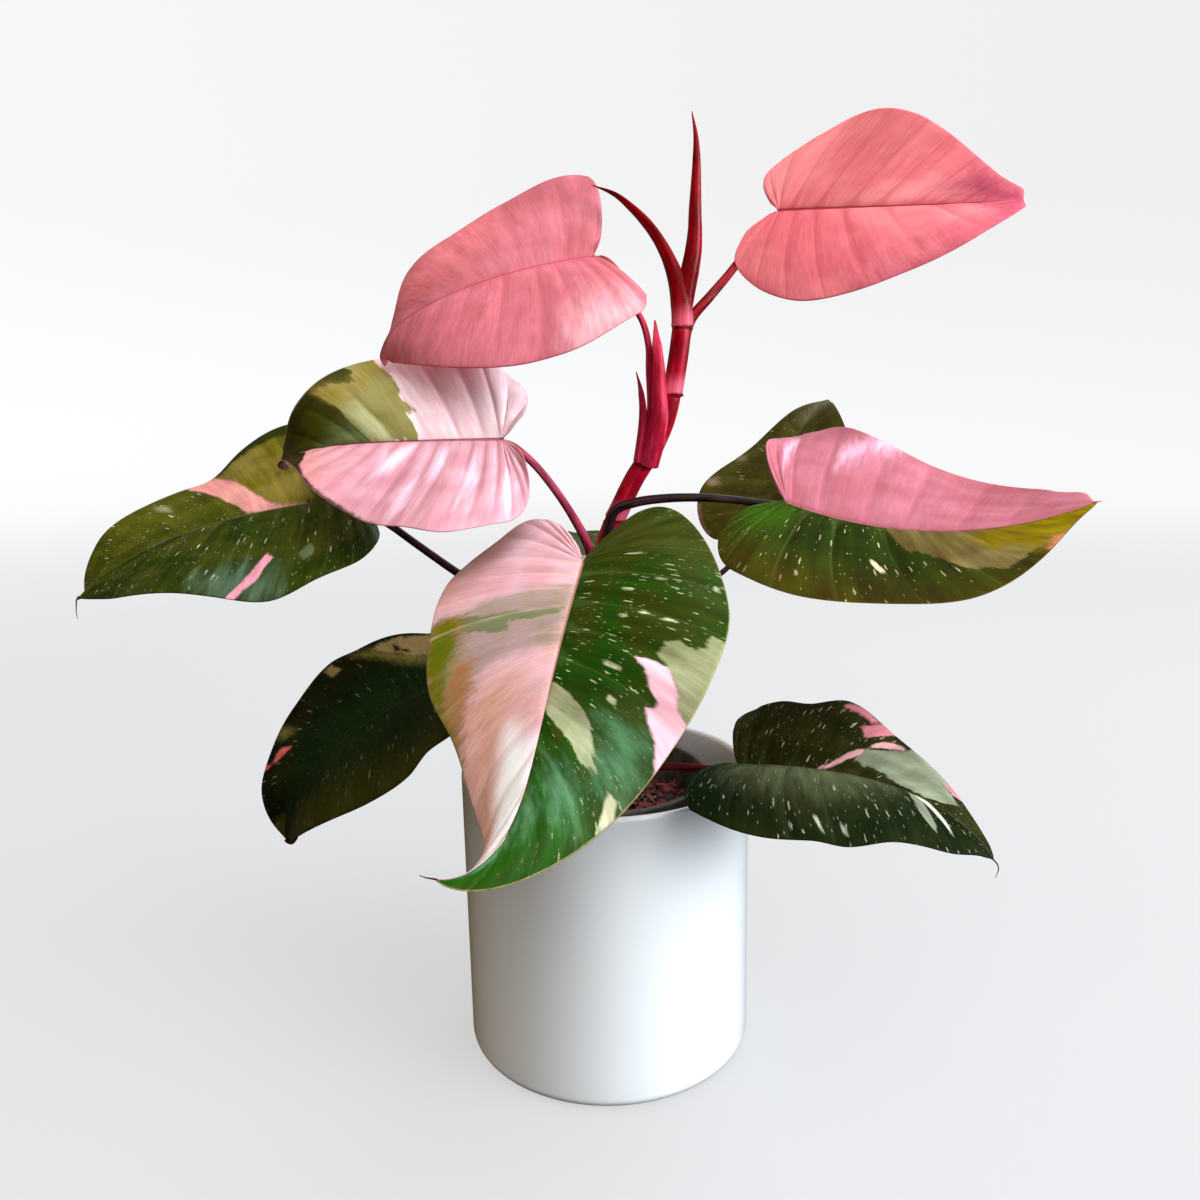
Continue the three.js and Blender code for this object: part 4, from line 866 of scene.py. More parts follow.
        "at": (5, 30, 262), "yaw": 195, "pitch": 8, "roll": -8, "length": 96,
        "width": (1, 1), "lean": (0, 0), "lobe": 0.8, "lobeArch": 0, "arch": 8, "tipArch": 8, "sweep": 0,
        "tipSweep": 0, "tipPower": 2, "twist": 0, "tipFold": 0, "fold": (8, 8), "curl": (-10, -10),
        "wave": ((2, 0.3), (2, 0.8)),
        "petiole": {"finish": "darkPetiole", "radii": (3.4, 2.2, 1.9), "path": (
            (-1, 1, 228), (2, 10, 240), (4, 20, 252), (5, 27, 258))},
        "veinEvery": (.08, .08), "veinLines": (0.4, 0.4), "relief": (0.6, 0.6), "ribShade": (0.9, 0.9),
        "ribWidth": 0.7, "rough": 0.38,
        "flecks": 0.8, "fleck": (206, 200, 172), "under": (84, 70, 48), "rib": (96, 98, 60),
        "vein": (92, 98, 58), "edge": (52, 34, 22),
        "base": (((60, 70, 24), (48, 56, 18)), ((64, 70, 26), (52, 58, 20))),
        "marks": (
            patch(0.4, 1.0, ((150, 146, 106), (176, 150, 136)),
                  ((.12, -.5), (.18, -.42), (.30, -.5), (.42, -.62), (.46, -.8), (.45, -1.05),
                   (.05, -1.05))),
            patch(0.4, 0.8, ((232, 168, 178),),
                  ((.62, .35), (.64, .5), (.65, .8), (.66, 1.05), (.74, 1.05), (.72, .75), (.70, .5),
                   (.67, .3))),
        ),
    },
}

halfOutline = np.array([
    (0, 0), (-.06, .03), (-.15, .12), (-.17, .24), (-.06, .36), (.14, .41),
    (.36, .37), (.58, .27), (.78, .15), (.92, .05), (1, 0),
])
blade = {
    "rows": 176, "firstRow": 0.1, "midribShare": 0.4, "veinBow": 0.15, "broadest": 0.41, "lobeReach": 0.25,
    "midribSteps": 120, "halfThickness": 0.26, "edgeRound": 0.55, "grooveDepth": 0.55, "grooveWidth": 1.0,
    "keelHeight": 1.25, "keelWidth": 1.15, "veinWidth": 0.0065, "alongVein": 0.085,
    "quilt": 0.55, "valley": 0.28, "swell": 0.13, "swells": 9, "lobeSteps": 24,
}
bladeColumns = np.concatenate([[0, 0.012, 0.027, 0.05], np.linspace(0.085, 0.93, 17),
                               [0.958, 0.98, 0.993, 1]])


def outlineAt(row):
    knots = np.vstack([2 * halfOutline[0] - halfOutline[1], halfOutline,
                       2 * halfOutline[-1] - halfOutline[-2]])
    place = np.clip(row, 0, 1) * (len(halfOutline) - 1)
    i = np.minimum(np.floor(place).astype(int), len(halfOutline) - 2)
    t = (place - i)[..., None]
    a, b, c, d = knots[i], knots[i + 1], knots[i + 2], knots[i + 3]
    square, cube = 2 * a - 5 * b + 4 * c - d, 3 * b - a - 3 * c + d
    return 0.5 * (2 * b + (c - a) * t + square * t**2 + cube * t**3)


def midribFrames(leaf):
    yaw, pitch, roll = (radians(leaf[key]) for key in ("yaw", "pitch", "roll"))
    along = np.array([cos(pitch) * sin(yaw), -cos(pitch) * cos(yaw), sin(pitch)])
    level = np.array([-sin(pitch) * sin(yaw), sin(pitch) * cos(yaw), cos(pitch)])
    side = np.cross(along, level)
    side, up = side * cos(roll) + level * sin(roll), level * cos(roll) - side * sin(roll)
    power = leaf["tipPower"]

    def walk(steps, step, bendAt):
        at, ahead, aside, above = np.array(leaf["at"], float), along, side, up
        run = [(0.0, at, ahead, aside, above)]
        for i in range(steps):
            down, right, twist = (radians(value) * abs(step) for value in bendAt(abs((i + 0.5) * step)))
            way = 1 if step > 0 else -1
            ahead2 = ahead - above * down * way + aside * right * way
            ahead2 = ahead2 / np.linalg.norm(ahead2)
            aside2 = aside - ahead2 * np.dot(aside, ahead2)
            aside2 = aside2 / np.linalg.norm(aside2)
            above2 = np.cross(aside2, ahead2)
            aside2, above2 = (aside2 * cos(twist) + above2 * sin(twist),
                              above2 * cos(twist) - aside2 * sin(twist))
            middle = ahead + ahead2
            at = at + middle / np.linalg.norm(middle) * step * leaf["length"]
            ahead, aside, above = ahead2, aside2, above2
            run.append(((i + 1) * step, at, ahead, aside, above))
        return run

    start, curlDown, curlRight = leaf.get("tipCurl", (1, 0, 0))

    def bendForward(share):
        tip = (power + 1) * share**power
        curl = 1 / (1 - start) if share > start else 0
        return (leaf["arch"] + leaf["tipArch"] * tip + curlDown * curl,
                leaf["sweep"] + leaf["tipSweep"] * tip + curlRight * curl, leaf["twist"])

    steps = blade["midribSteps"]
    forward = walk(steps, 1 / steps, bendForward)
    lobeSteps = blade["lobeSteps"]
    backward = walk(lobeSteps, -blade["lobeReach"] / lobeSteps, lambda share: (leaf["lobeArch"] / 0.2, 0, 0))
    run = backward[:0:-1] + forward
    return [np.array([step[k] for step in run]) for k in range(5)]


def frameAt(frames, along):
    shares, *tracks = frames
    return [np.stack([np.interp(along, shares, track[:, k]) for k in range(3)], axis=-1) for track in tracks]


def veinRows(leaf, half):  # where the main side veins run, a little uneven
    draw = np.random.default_rng(int(leaf["length"] * 7 + half * 31 + leaf["yaw"]) % 9973 + 5)
    rows, row = [], 0.135
    while row < 0.93:
        rows.append(row)
        row += leaf["veinEvery"][half] * (0.75 + 0.5 * draw.random()) * (1.15 if row < 0.4 else 1)
    return np.array(rows)


def relief(leaf, half, row, out):  # height in millimetres of the quilting between the side veins
    rows = veinRows(leaf, half)
    depth = leaf["relief"][half]
    nearest = np.abs(row[..., None] - rows).min(axis=-1)
    after = np.searchsorted(rows, row)
    start = np.where(after > 0, rows[np.clip(after - 1, 0, len(rows) - 1)], 0.08)
    end = np.where(after < len(rows), rows[np.clip(after, 0, len(rows) - 1)], 1.0)
    between = np.clip((row - start) / np.maximum(end - start, 1e-6), 0, 1)
    rise = np.clip(out / 0.12, 0, 1) * np.clip((1 - out) / 0.25, 0, 1) ** 0.7
    calm = np.clip((1 - row) / 0.15, 0, 1)
    quilt = blade["quilt"] * np.sin(pi * between) * rise
    valley = -blade["valley"] * np.exp(-(nearest / blade["veinWidth"]) ** 2) * rise
    draw = np.random.default_rng(int(leaf["length"]) + 100 * half)
    swell = np.zeros_like(row)
    for _ in range(blade["swells"]):
        across, along = 6 + 30 * draw.random(), 1 + 4 * draw.random()
        phase, size = 2 * pi * draw.random(), draw.random()
        swell += blade["swell"] * size * np.sin(across * row + along * out + phase)
    return (depth * (quilt + valley) + depth * swell * out) * calm, nearest


def edgeWave(leaf, half, row):  # how far the edge stands out beyond the plain heart shape
    knots = leaf.get("edgeWaves", ((), ()))[half]
    if not knots:
        return np.zeros_like(row)
    rows, sizes = zip((0.1, 0), *knots, (1, 0))
    rows, sizes = np.array(rows), np.array(sizes)
    i = np.clip(np.searchsorted(rows, row) - 1, 0, len(rows) - 2)
    t = np.clip((row - rows[i]) / (rows[i + 1] - rows[i]), 0, 1)
    t = t * t * (3 - 2 * t)
    return sizes[i] * (1 - t) + sizes[i + 1] * t


def bladeNet(leaf, half, row, out):  # middle surface of half a blade, and what the paint needs
    length = leaf["length"]
    edge = outlineAt(row)
    edgeOut = edge[..., 1] * leaf["width"][half]
    edgeAlong = np.where(edge[..., 0] < 0, edge[..., 0] * leaf["lobe"], edge[..., 0])
    edgeAlong = edgeAlong + leaf["lean"][half] * edgeOut * np.sin(pi * row)
    share = blade["midribShare"]
    start = np.maximum((row - share) / (1 - share), 0) ** 1.3
    veinLength = np.hypot(edgeAlong - start, edgeOut)
    stretched = edgeWave(leaf, half, row) / (length * np.maximum(veinLength, 0.02)) * np.clip(out, 0, 1)
    bow = blade["veinBow"] * out * (1 - out) * veinLength
    along = start + (edgeAlong - start) * out * (1 + stretched) - bow
    reach = edgeOut * out * (1 + stretched) * length

    at, _, side, up = frameAt(midribFrames(leaf), along)
    tip = np.clip(along, 0, 1)
    fold = np.radians(leaf["fold"][half] + leaf["tipFold"] * tip**2)
    bend = radians(leaf["curl"][half]) / (blade["broadest"] * length * leaf["width"][half])
    lean = fold + bend * reach
    sideways = (np.sin(lean) - np.sin(fold)) / bend
    lift = (np.cos(fold) - np.cos(lean)) / bend
    height, phase = leaf["wave"][half]
    ripple = height * out**2 * np.sin(2 * pi * (3 * row + phase)) * np.sqrt(np.abs(np.sin(pi * row)))
    quilt, nearest = relief(leaf, half, row, out)
    ribDistance = np.hypot(reach, np.minimum(along, 0) * length)
    groove = blade["grooveDepth"] * np.exp(-(ribDistance / blade["grooveWidth"]) ** 2) * (1 - 0.8 * tip)
    raised = ripple + quilt - groove
    outward = side * (1 if half else -1)
    points = at + outward * (sideways - raised * np.sin(lean))[..., None]
    points = points + up * (lift + raised * np.cos(lean))[..., None]
    edgeDistance = np.minimum((1 - out) * veinLength * length, (row - blade["firstRow"]) * length * out * 1.2)
    keel = blade["keelHeight"] * (1 - 0.85 * tip) * np.exp(-(ribDistance / blade["keelWidth"]) ** 2)
    return {"points": points, "ribDistance": ribDistance, "edgeDistance": edgeDistance, "keel": keel,
            "veinDistance": nearest * length * np.clip(out * 3, 0.15, 1)}


def insideDistance(x, y, shape):  # distance to a polygon's outline, positive inside it
    best = np.full(x.shape, 1e9)
    inside = np.zeros(x.shape, bool)
    for (ax, ay), (bx, by) in zip(shape, shape[1:] + shape[:1]):
        dx, dy = bx - ax, by - ay
        t = np.clip(((x - ax) * dx + (y - ay) * dy) / max(dx * dx + dy * dy, 1e-12), 0, 1)
        best = np.minimum(best, np.hypot(x - ax - t * dx, y - ay - t * dy))
        crossing = (ay > y) != (by > y)
        inside ^= crossing & (x < dx * (y - ay) / (dy if dy else 1e-12) + ax)
    return np.where(inside, best, -best)


def markDistance(leaf, half, row, out, outlines):
    length, outLength = leaf["length"], leaf["length"] * blade["alongVein"]
    best = np.full(row.shape, -25.0)
    for outline in outlines:
        isRight = sum(o for _, o in outline) > 0
        if isRight != bool(half):
            continue
        scaled = [(r * length, (abs(o) if (o > 0) == isRight else -abs(o)) * outLength) for r, o in outline]
        best = np.maximum(best, insideDistance(row * length, out * outLength, scaled))
    return best


def bladeMesh(name, leaf, material):
    rows, first, share = blade["rows"], blade["firstRow"], blade["midribShare"]
    rowValues = np.linspace(first, 1, rows + 1)
    row, out = np.meshgrid(rowValues, bladeColumns, indexing="ij")
    size = row.size
    halves = [bladeNet(leaf, half, row, out) for half in (0, 1)]
    cell = np.arange(size).reshape(row.shape)

    unique = np.concatenate([cell.ravel(), cell.ravel() + size]).reshape(2, *row.shape)
    root, tip = cell[0, 0], cell[-1, 0]
    unique[1, :, 0] = unique[0, :, 0]
    unique[:, rowValues <= share + 1e-9, 0] = root
    unique[:, -1, :] = tip
    points = np.concatenate([half["points"].reshape(-1, 3) for half in halves])
    points[root] = leaf["at"]
    border = np.zeros(2 * size, bool)
    border[unique[:, :, -1].ravel()] = True
    border[unique[:, 0, :].ravel()] = True
    border[tip] = True

    faces, corners = [], []
    for half in (0, 1):
        quads, quadIds = [
            np.stack([grid[:-1, :-1], grid[:-1, 1:], grid[1:, 1:], grid[1:, :-1]], axis=-1).reshape(-1, 4)
            for grid in (cell + half * size, unique[half])]
        for places, verts in zip(quads.tolist(), quadIds.tolist()):
            kept = [k for k in range(4) if verts[k] != verts[k - 1]]
            if len(kept) < 3:
                continue
            kept = kept if half else kept[::-1]
            faces.append([verts[k] for k in kept])
            corners.append([places[k] for k in kept])

    normals = np.zeros_like(points)
    triangles = np.array([(f[0], f[k], f[k + 1]) for f in faces for k in range(1, len(f) - 1)])
    a, b, c = (points[triangles[:, k]] for k in range(3))
    facing = np.cross(b - a, c - a)
    for k in range(3):
        np.add.at(normals, triangles[:, k], facing)
    lengths = np.linalg.norm(normals, axis=1, keepdims=True)
    normals = normals / np.maximum(lengths, 1e-12)

    values = {key: np.concatenate([half[key].ravel() for half in halves])
              for key in ("ribDistance", "edgeDistance", "veinDistance", "keel")}
    thick = blade["halfThickness"] * np.sqrt(np.clip(values["edgeDistance"] / blade["edgeRound"], 0, 1))
    thick[border] = 0
    upper = points + normals * thick[:, None]
    lower = points - normals * (thick + np.where(border, 0, values["keel"]))[:, None]

    used = np.unique(unique)
    topOf, bottomOf = np.full(2 * size, -1), np.full(2 * size, -1)
    topOf[used] = np.arange(len(used))
    inner = used[~border[used]]
    bottomOf[used] = topOf[used]
    bottomOf[inner] = len(used) + np.arange(len(inner))
    meshPoints = np.concatenate([upper[used], lower[inner]]) * mm
    meshFaces = [[int(topOf[v]) for v in face] for face in faces]
    meshFaces += [[int(bottomOf[v]) for v in face[::-1]] for face in faces]
    flat = np.array([v for face in corners for v in face] + [v for face in corners for v in face[::-1]])
    count = len(flat) // 2
    signs = np.concatenate([np.full(size, -1.0), np.ones(size)])
    rowAll, outAll = np.tile(row.ravel(), 2), np.tile(out.ravel(), 2)
    cornerValues = {
        "veinMap": np.stack([rowAll[flat], (outAll * signs)[flat]], axis=-1),
        "ribDistance": values["ribDistance"][flat],
        "edgeDistance": values["edgeDistance"][flat],
        "veinDistance": values["veinDistance"][flat],
        "underside": np.concatenate([np.zeros(count), np.ones(count)]),
        "rightHalf": (flat >= size).astype(float),
    }
    for i, mark in enumerate(leaf["marks"]):
        far = [markDistance(leaf, half, row, out, mark["outlines"]).ravel() for half in (0, 1)]
        cornerValues[f"mark{i}"] = np.concatenate(far)[flat]
    return addMesh(name, meshPoints.tolist(), meshFaces, material, cornerValues)


# width and length of a cell, least and most radius in it, share of cells with a fleck, strength
fleckLayers = (
    (0.9, 8.0, 0.06, 0.15, 0.6, 0.45),
    (1.6, 26.0, 0.05, 0.13, 0.75, 0.85),
    (3.4, 44.0, 0.045, 0.09, 0.35, 0.95),
)


def paintBlade(name, leaf):
    length, seed = leaf["length"], leaf["length"] * 0.37 + leaf["yaw"]

    def build(graph):
        row = graph.split(graph.add("ShaderNodeUVMap", {"uv_map": "veinMap"}))
        across, reach = row * length, row.also("Y") * (length * 0.5)
        right = graph.attribute("rightHalf")
        under = graph.attribute("underside")
        streaks = graph.noise(graph.vector(across * 0.75, reach * 0.05, seed), 1.0, 3.0, 0.6)
        hairs = graph.noise(graph.vector(across * 4.2, reach * 0.08, seed + 3), 1.0, 3.0, 0.65)
        # broad bands along the veins: painted shade and light between the ribs of the blade
        ribShade = graph.noise(graph.vector(across * 0.3, reach * 0.02, seed + 31), 1.0, 2.0)
        clouds = graph.noise(graph.vector(across * 0.06, reach * 0.05, seed + 9), 1.0, 2.0, 0.5)
        mottle = graph.ease(clouds * 0.75 + streaks * 0.25, 0.38, 0.62)

        left, rightBase = [[tint(*shade) for shade in pair] for pair in leaf["base"]]
        colour = graph.blend(graph.blend(*left, mottle), graph.blend(*rightBase, mottle), right)

        if leaf["flecks"]:
            zone = graph.noise(graph.vector(across * 0.05, reach * 0.06, seed + 21), 1.0, 2.0)
            zone = graph.ease(zone, 0.34, 0.62, 0.4, 1.0)
            if "fleckHalf" in leaf:
                zone = zone * (right if leaf["fleckHalf"] else 1 - right)
            fleck = tint(*leaf["fleck"])
            jog = graph.noise(graph.vector(across * 1.6, reach * 0.9, seed), 1.0, 1.0)
            for wide, long, least, most, share, part in fleckLayers:
                spot = graph.vector(across / wide + jog * 0.25, reach / long, 0.0)
                near = graph.cells(spot, 1.0, "Distance", voronoi_dimensions="2D")
                lot = graph.add("ShaderNodeSeparateColor", None, (near.also("Color"),), "Red")
                radius = least + (most - least) * lot.also("Green")
                shown = lot < zone * (share * leaf["flecks"])
                shape = graph.ease(radius - near, -0.01, 0.03) * shown
                colour = graph.blend(colour, fleck, shape * part * (0.5 + 0.5 * lot.also("Blue")))

        veinLine = graph.ease(0.55 - graph.attribute("veinDistance"), 0.0, 0.5)
        veinPart = right * (leaf["veinLines"][1] - leaf["veinLines"][0]) + leaf["veinLines"][0]
        veinTint = tint(*leaf["vein"])
        if "veinRight" in leaf:
            veinTint = graph.blend(veinTint, tint(*leaf["veinRight"]), right)
        veinPart = veinLine * veinPart * graph.ease(hairs, 0.3, 0.6, 0.4, 1.0)
        colour = graph.blend(colour, veinTint, veinPart)

        for i, mark in enumerate(leaf["marks"]):
            soft, ragged, grain = mark["soft"], mark["ragged"], mark["grain"]
            torn = graph.vector(across * grain, reach * (grain * 0.12), seed + 5 * i)
            torn = graph.noise(torn, 1.0, 3.0, 0.65)
            inside = graph.attribute(f"mark{i}") + (torn - 0.5) * (2.6 * ragged)
            paint = tint(*mark["tints"][0])
            if len(mark["tints"]) > 1:
                paint = graph.blend(paint, tint(*mark["tints"][1]), mottle)
            colour = graph.blend(colour, paint, graph.ease(inside, -soft, soft))

        if leaf.get("veinsOver"):
            colour = graph.blend(colour, veinTint, veinPart)
        # fine streaks of tone, then painted shade and light in bands along the veins
        ribShadeDepth = right * (leaf["ribShade"][1] - leaf["ribShade"][0]) + leaf["ribShade"][0]
        tone = (hairs - 0.5) * 0.5 + (streaks - 0.5) * leaf.get("hair", 0.3) + (ribShade - 0.5) * ribShadeDepth + 1
        deep = tone ** leaf.get("deepen", 1.0)  # shadows that gain colour rather than turn grey
        shade = graph.add("ShaderNodeCombineColor", None, (tone, deep, deep))
        colour = graph.blend(colour, shade, 1.0, "MULTIPLY")
        ribHalf = graph.ease(row, 0.35, 1.0, leaf["ribWidth"], leaf["ribWidth"] * 0.3)
        ribMask = graph.ease(ribHalf - graph.attribute("ribDistance"), -0.15, 0.25)
        if "ribUntil" in leaf:
            ribMask = ribMask * graph.ease(row, leaf["ribUntil"], leaf["ribUntil"] + 0.1, 1.0, 0.15)
        colour = graph.blend(colour, tint(*leaf["rib"]), ribMask * 0.85)
        edgeMask = graph.ease(0.65 - graph.attribute("edgeDistance"), 0.0, 0.4)
        edgeMask = edgeMask * graph.ease(streaks, 0.3, 0.6, 0.35, 0.75)
        edgeTint = tint(*leaf["edge"])
        if "edgeRight" in leaf:
            edgeTint = graph.blend(edgeTint, tint(*leaf["edgeRight"]), right)
        colour = graph.blend(colour, edgeTint, edgeMask)
        colour = graph.blend(colour, tint(*leaf["under"]), under * 0.55)

        gloss = leaf["rough"] + (streaks - 0.5) * 0.12 + under * 0.2
        fine = graph.noise(graph.vector(across * 6, reach * 2.5, seed + 13), 1.0, 2.0)
        normal = graph.bump(hairs * 0.7 + streaks + fine * 0.12, 0.35, 0.00022)
        return {"Base Color": colour, "Roughness": gloss, "Normal": normal}

    return dress(f"blade_{name}", build, **{"IOR": 1.42, "Specular IOR Level": leaf.get("shine", 0.08)})


# Stems and petioles

# dark and mid are tones of the skin; light is streaked on as painted highlights
stemFinishes = {
    "redStem": {"dark": (116, 0, 16), "mid": (164, 4, 32), "light": (196, 40, 66), "rough": 0.26},
    "darkRed": {"dark": (96, 0, 4), "mid": (142, 2, 14), "light": (174, 22, 36), "rough": 0.24},
    "sheathPink": {"dark": (150, 10, 38), "mid": (188, 30, 62), "light": (228, 96, 124), "rough": 0.28},
    "darkPetiole": {"dark": (22, 8, 6), "mid": (46, 22, 26), "light": (92, 54, 62), "rough": 0.34},
    "redPetiole": {"dark": (118, 20, 42), "mid": (160, 50, 74), "light": (204, 112, 132), "rough": 0.36},
    "shadedPetiole": {"dark": (58, 10, 14), "mid": (88, 22, 30), "light": (132, 58, 66), "rough": 0.36},
}
finishSlots = {
    "redStem": "red_stem", "darkRed": "dark_red", "sheathPink": "red_stem",
    "darkPetiole": "dark_petiole", "redPetiole": "red_petiole", "shadedPetiole": "red_petiole",
}


def paintStem(name, look):
    def build(graph):
        ring = graph.attribute("ringPlace", "Vector")
        along = graph.attribute("alongTube")
        split = graph.split(ring)
        lines = graph.noise(graph.vector(split * 5, split.also("Y") * 5, along * 30), 1.0, 3.0, 0.6)
        patches = graph.noise(graph.vector(split * 0.8, split.also("Y") * 0.8, along * 55), 1.0, 2.0)
        pores = graph.cells(graph.vector(split * 4, split.also("Y") * 4, along * 420), 1.0)
        colour = graph.blend(tint(*look["dark"]), tint(*look["mid"]), graph.ease(patches, 0.34, 0.6))
        # the light tint in streaks along the tube: painted highlights
        mixed = graph.ease(lines * 0.65 + patches * 0.35, 0.5, 0.72, 0.0, 0.75)
        colour = graph.blend(colour, tint(*look["light"]), mixed)
        colour = graph.blend(colour, tint(*look["light"]), graph.ease(pores, 0.16, 0.08, 0.0, 0.55))
        if "flush" in look:  # paler skin above each node, partly a painted highlight on its flare, a brown scar on it
            height = graph.split(graph.place(), "Z")
            for node in look["flush"]:
                above = (height - node * mm) / mm + (patches - 0.5) * 5
                pale = graph.ease(above, 0.2, 1.4) * graph.ease(above, 3.0, 13.0, 1.0, 0.0)
                colour = graph.blend(colour, tint(236, 104, 126),
                                     pale * graph.ease(lines, 0.3, 0.65, 0.5, 0.85))
                scar = graph.math("ABSOLUTE", (height - node * mm) / mm + (lines - 0.5))
                scar = graph.ease(scar, 0.75, 0.25)
                colour = graph.blend(colour, tint(86, 22, 28), scar * 0.6)
        gloss = look["rough"] + (lines - 0.5) * 0.2
        return {"Base Color": colour, "Roughness": gloss,
                "Normal": graph.bump(lines - pores * 0.2, 0.4, 0.0003)}

    return dress(name, build, **{"IOR": 1.45, "Specular IOR Level": 0.14})


stemMaterials = {name: paintStem(name, look) for name, look in stemFinishes.items()}
print("stem finishes mixed")

stem = {
    "radius": 5.3, "topRadius": 5.0, "flare": 0.5, "flareReach": 6.5, "waist": 0.25, "waistReach": 3.5,
    "nodes": (150, 172, 194, 216, 240, 264, 287, 318, 350, 383),
    "path": (
        (-4, 0, 86), (-4, 0, 135), (-4, 1, 180), (-2, 1, 225), (1, 0, 262), (5, 0, 281), (11, 0, 294),
        (18, 0, 308), (27, 0, 322), (34, 0, 337), (38, 0, 352), (41, 0, 368), (43, 0, 384), (43.5, 0, 398)),
    "steps": 520, "sides": 40, "scarDepth": 0.3, "scarReach": 0.5, "flutes": 7, "fluteDepth": 0.02,
    "end": (4.2, 2.4, 0.5), "bareNodes": 3,
}
rootBuds = {"turns": (200, 335, 80), "swing": 18, "size": (0.75, 1.15), "flat": 0.75, "sunk": 0.25,
            "drop": (-0.9, 0.1), "seed": 5}


def buildStem(values):
    places, runs = smoothPath(values["path"], values["steps"])
    share = runs / runs[-1]
    radii = values["radius"] + (values["topRadius"] - values["radius"]) * share
    for node in values["nodes"]:
        above = places[:, 2] - node
        onset = np.clip(above / 0.9 + 0.5, 0, 1)
        radii = radii + values["flare"] * onset * np.exp(-np.maximum(above, 0) / values["flareReach"])
        radii = radii - values["waist"] * (1 - onset) * np.exp(np.minimum(above, 0) / values["waistReach"])
        radii = radii - values["scarDepth"] * np.exp(-(above / values["scarReach"]) ** 2)
    radii[-3:] = values["end"]
    body = paintStem("stemSkin", {**stemFinishes["redStem"], "flush": values["nodes"][values["bareNodes"]:]})
    return sweep("stem_body", places, radii, body, values["sides"], values["flutes"], values["fluteDepth"])


def buildRootBuds(values, buds):  # dark buds of air roots just under the nodes
    places, _ = smoothPath(values["path"], values["steps"])
    work = bmesh.new()
    draw = np.random.default_rng(buds["seed"])
    for node in values["nodes"]:
        i = int(np.argmin(np.abs(places[:, 2] - node)))
        for turn in buds["turns"]:
            angle = radians(turn + draw.uniform(-buds["swing"], buds["swing"]))
            size = draw.uniform(*buds["size"])
            out = Vector((cos(angle), sin(angle), 0))
            drop = Vector((0, 0, draw.uniform(*buds["drop"])))
            spot = (Vector(places[i]) + out * (values["radius"] - buds["sunk"]) + drop) * mm
            bud = bmesh.ops.create_icosphere(work, subdivisions=2, radius=size * mm)
            bmesh.ops.scale(work, verts=bud["verts"], vec=(1, 1, buds["flat"]))
            bmesh.ops.translate(work, verts=bud["verts"], vec=spot)
    mesh = bpy.data.meshes.new("root_buds")
    work.to_mesh(mesh)
    work.free()
    mesh.polygons.foreach_set("use_smooth", [True] * len(mesh.polygons))
    mesh.materials.append(dress("budSkin", paintBud, **{"IOR": 1.4}))
    piece = bpy.data.objects.new("root_buds", mesh)
    scene.collection.objects.link(piece)
    settle(piece, "red_stem", "stem")


def paintBud(graph):
    skin = graph.noise(graph.place(), 1400.0, 3.0)
    ends = graph.noise(graph.place(), 500.0, 1.0)
    colour = graph.blend(tint(52, 14, 16), tint(128, 84, 66), graph.ease(skin * 0.5 + ends * 0.5, 0.48, 0.66))
    return {"Base Color": colour, "Roughness": 0.6 + (skin - 0.5) * 0.3,
            "Normal": graph.bump(skin, 0.4, 0.0002)}


# underBlade: how far along the blade and how far below it, in millimetres, the petiole runs on
petioleShape = {
    "step": 0.8, "sides": 22, "baseFlare": 0.3, "flareReach": 6, "knuckle": 0.22, "knuckleReach": 7,
    "knuckleBefore": 6, "underBlade": ((7, 1.9), (16, 1.0)), "end": 0.45, "grooves": 1, "grooveDepth": 0.14,
}


def buildPetiole(name, leaf):
    petiole = leaf["petiole"]
    radii = petiole["radii"]
    shares, at, ahead, _, up = midribFrames(leaf)
    root = int(np.argmin(np.abs(shares)))
    last = radii[-1]
    end = at[root] - up[root] * (last + 1.0) + ahead[root] * last
    under = []
    for along, drop in petioleShape["underBlade"]:
        i = int(np.searchsorted(shares, along / leaf["length"]))
        under.append(tuple(at[i] - up[i] * drop))
    mainLength = smoothPath([*petiole["path"], tuple(end)], 50)[1][-1]
    whole = [*petiole["path"], tuple(end), *under]
    length = smoothPath(whole, 50)[1][-1]
    places, runs = smoothPath(whole, int(length / petioleShape["step"]))
    share = np.clip(runs / mainLength, 0, 1) * (len(radii) - 1)
    thick = np.interp(share, np.arange(len(radii)), radii)
    thick = thick * (1 + petioleShape["baseFlare"] * np.exp(-(runs / petioleShape["flareReach"]) ** 2))
    toKnuckle = (runs - mainLength + petioleShape["knuckleBefore"]) / petioleShape["knuckleReach"]
    thick = thick * (1 + petioleShape["knuckle"] * np.exp(-toKnuckle ** 2))
    beyond = np.clip((runs - mainLength) / (length - mainLength), 0, 1)
    thick = thick * (1 - beyond) + petioleShape["end"] * beyond
    piece = sweep(f"petiole_{name}_stalk", places, thick, stemMaterials[petiole["finish"]],
                  petioleShape["sides"], petioleShape["grooves"], petioleShape["grooveDepth"])
    settle(piece, finishSlots[petiole["finish"]], f"petiole_{name}")


bladeSlots = {
    "top_right": "pink_blade", "top_left": "pink_blade", "mid_left": "pink_green_blade",
    "right": "pink_green_blade", "far_left": "green_pink_blade", "front": "green_pink_blade",
}

for leafName, leaf in leaves.items():
    piece = bladeMesh(f"blade_{leafName}", leaf, paintBlade(leafName, leaf))
    settle(piece, bladeSlots.get(leafName, "dark_green_blade"), f"leaf_{leafName}")
    buildPetiole(leafName, leaf)
    print("leaf grown:", leafName)
settle(buildStem(stem), "red_stem", "stem")
buildRootBuds(stem, rootBuds)
print("stem built")


# Thin tails at the leaf tips: run in millimetres from the tip

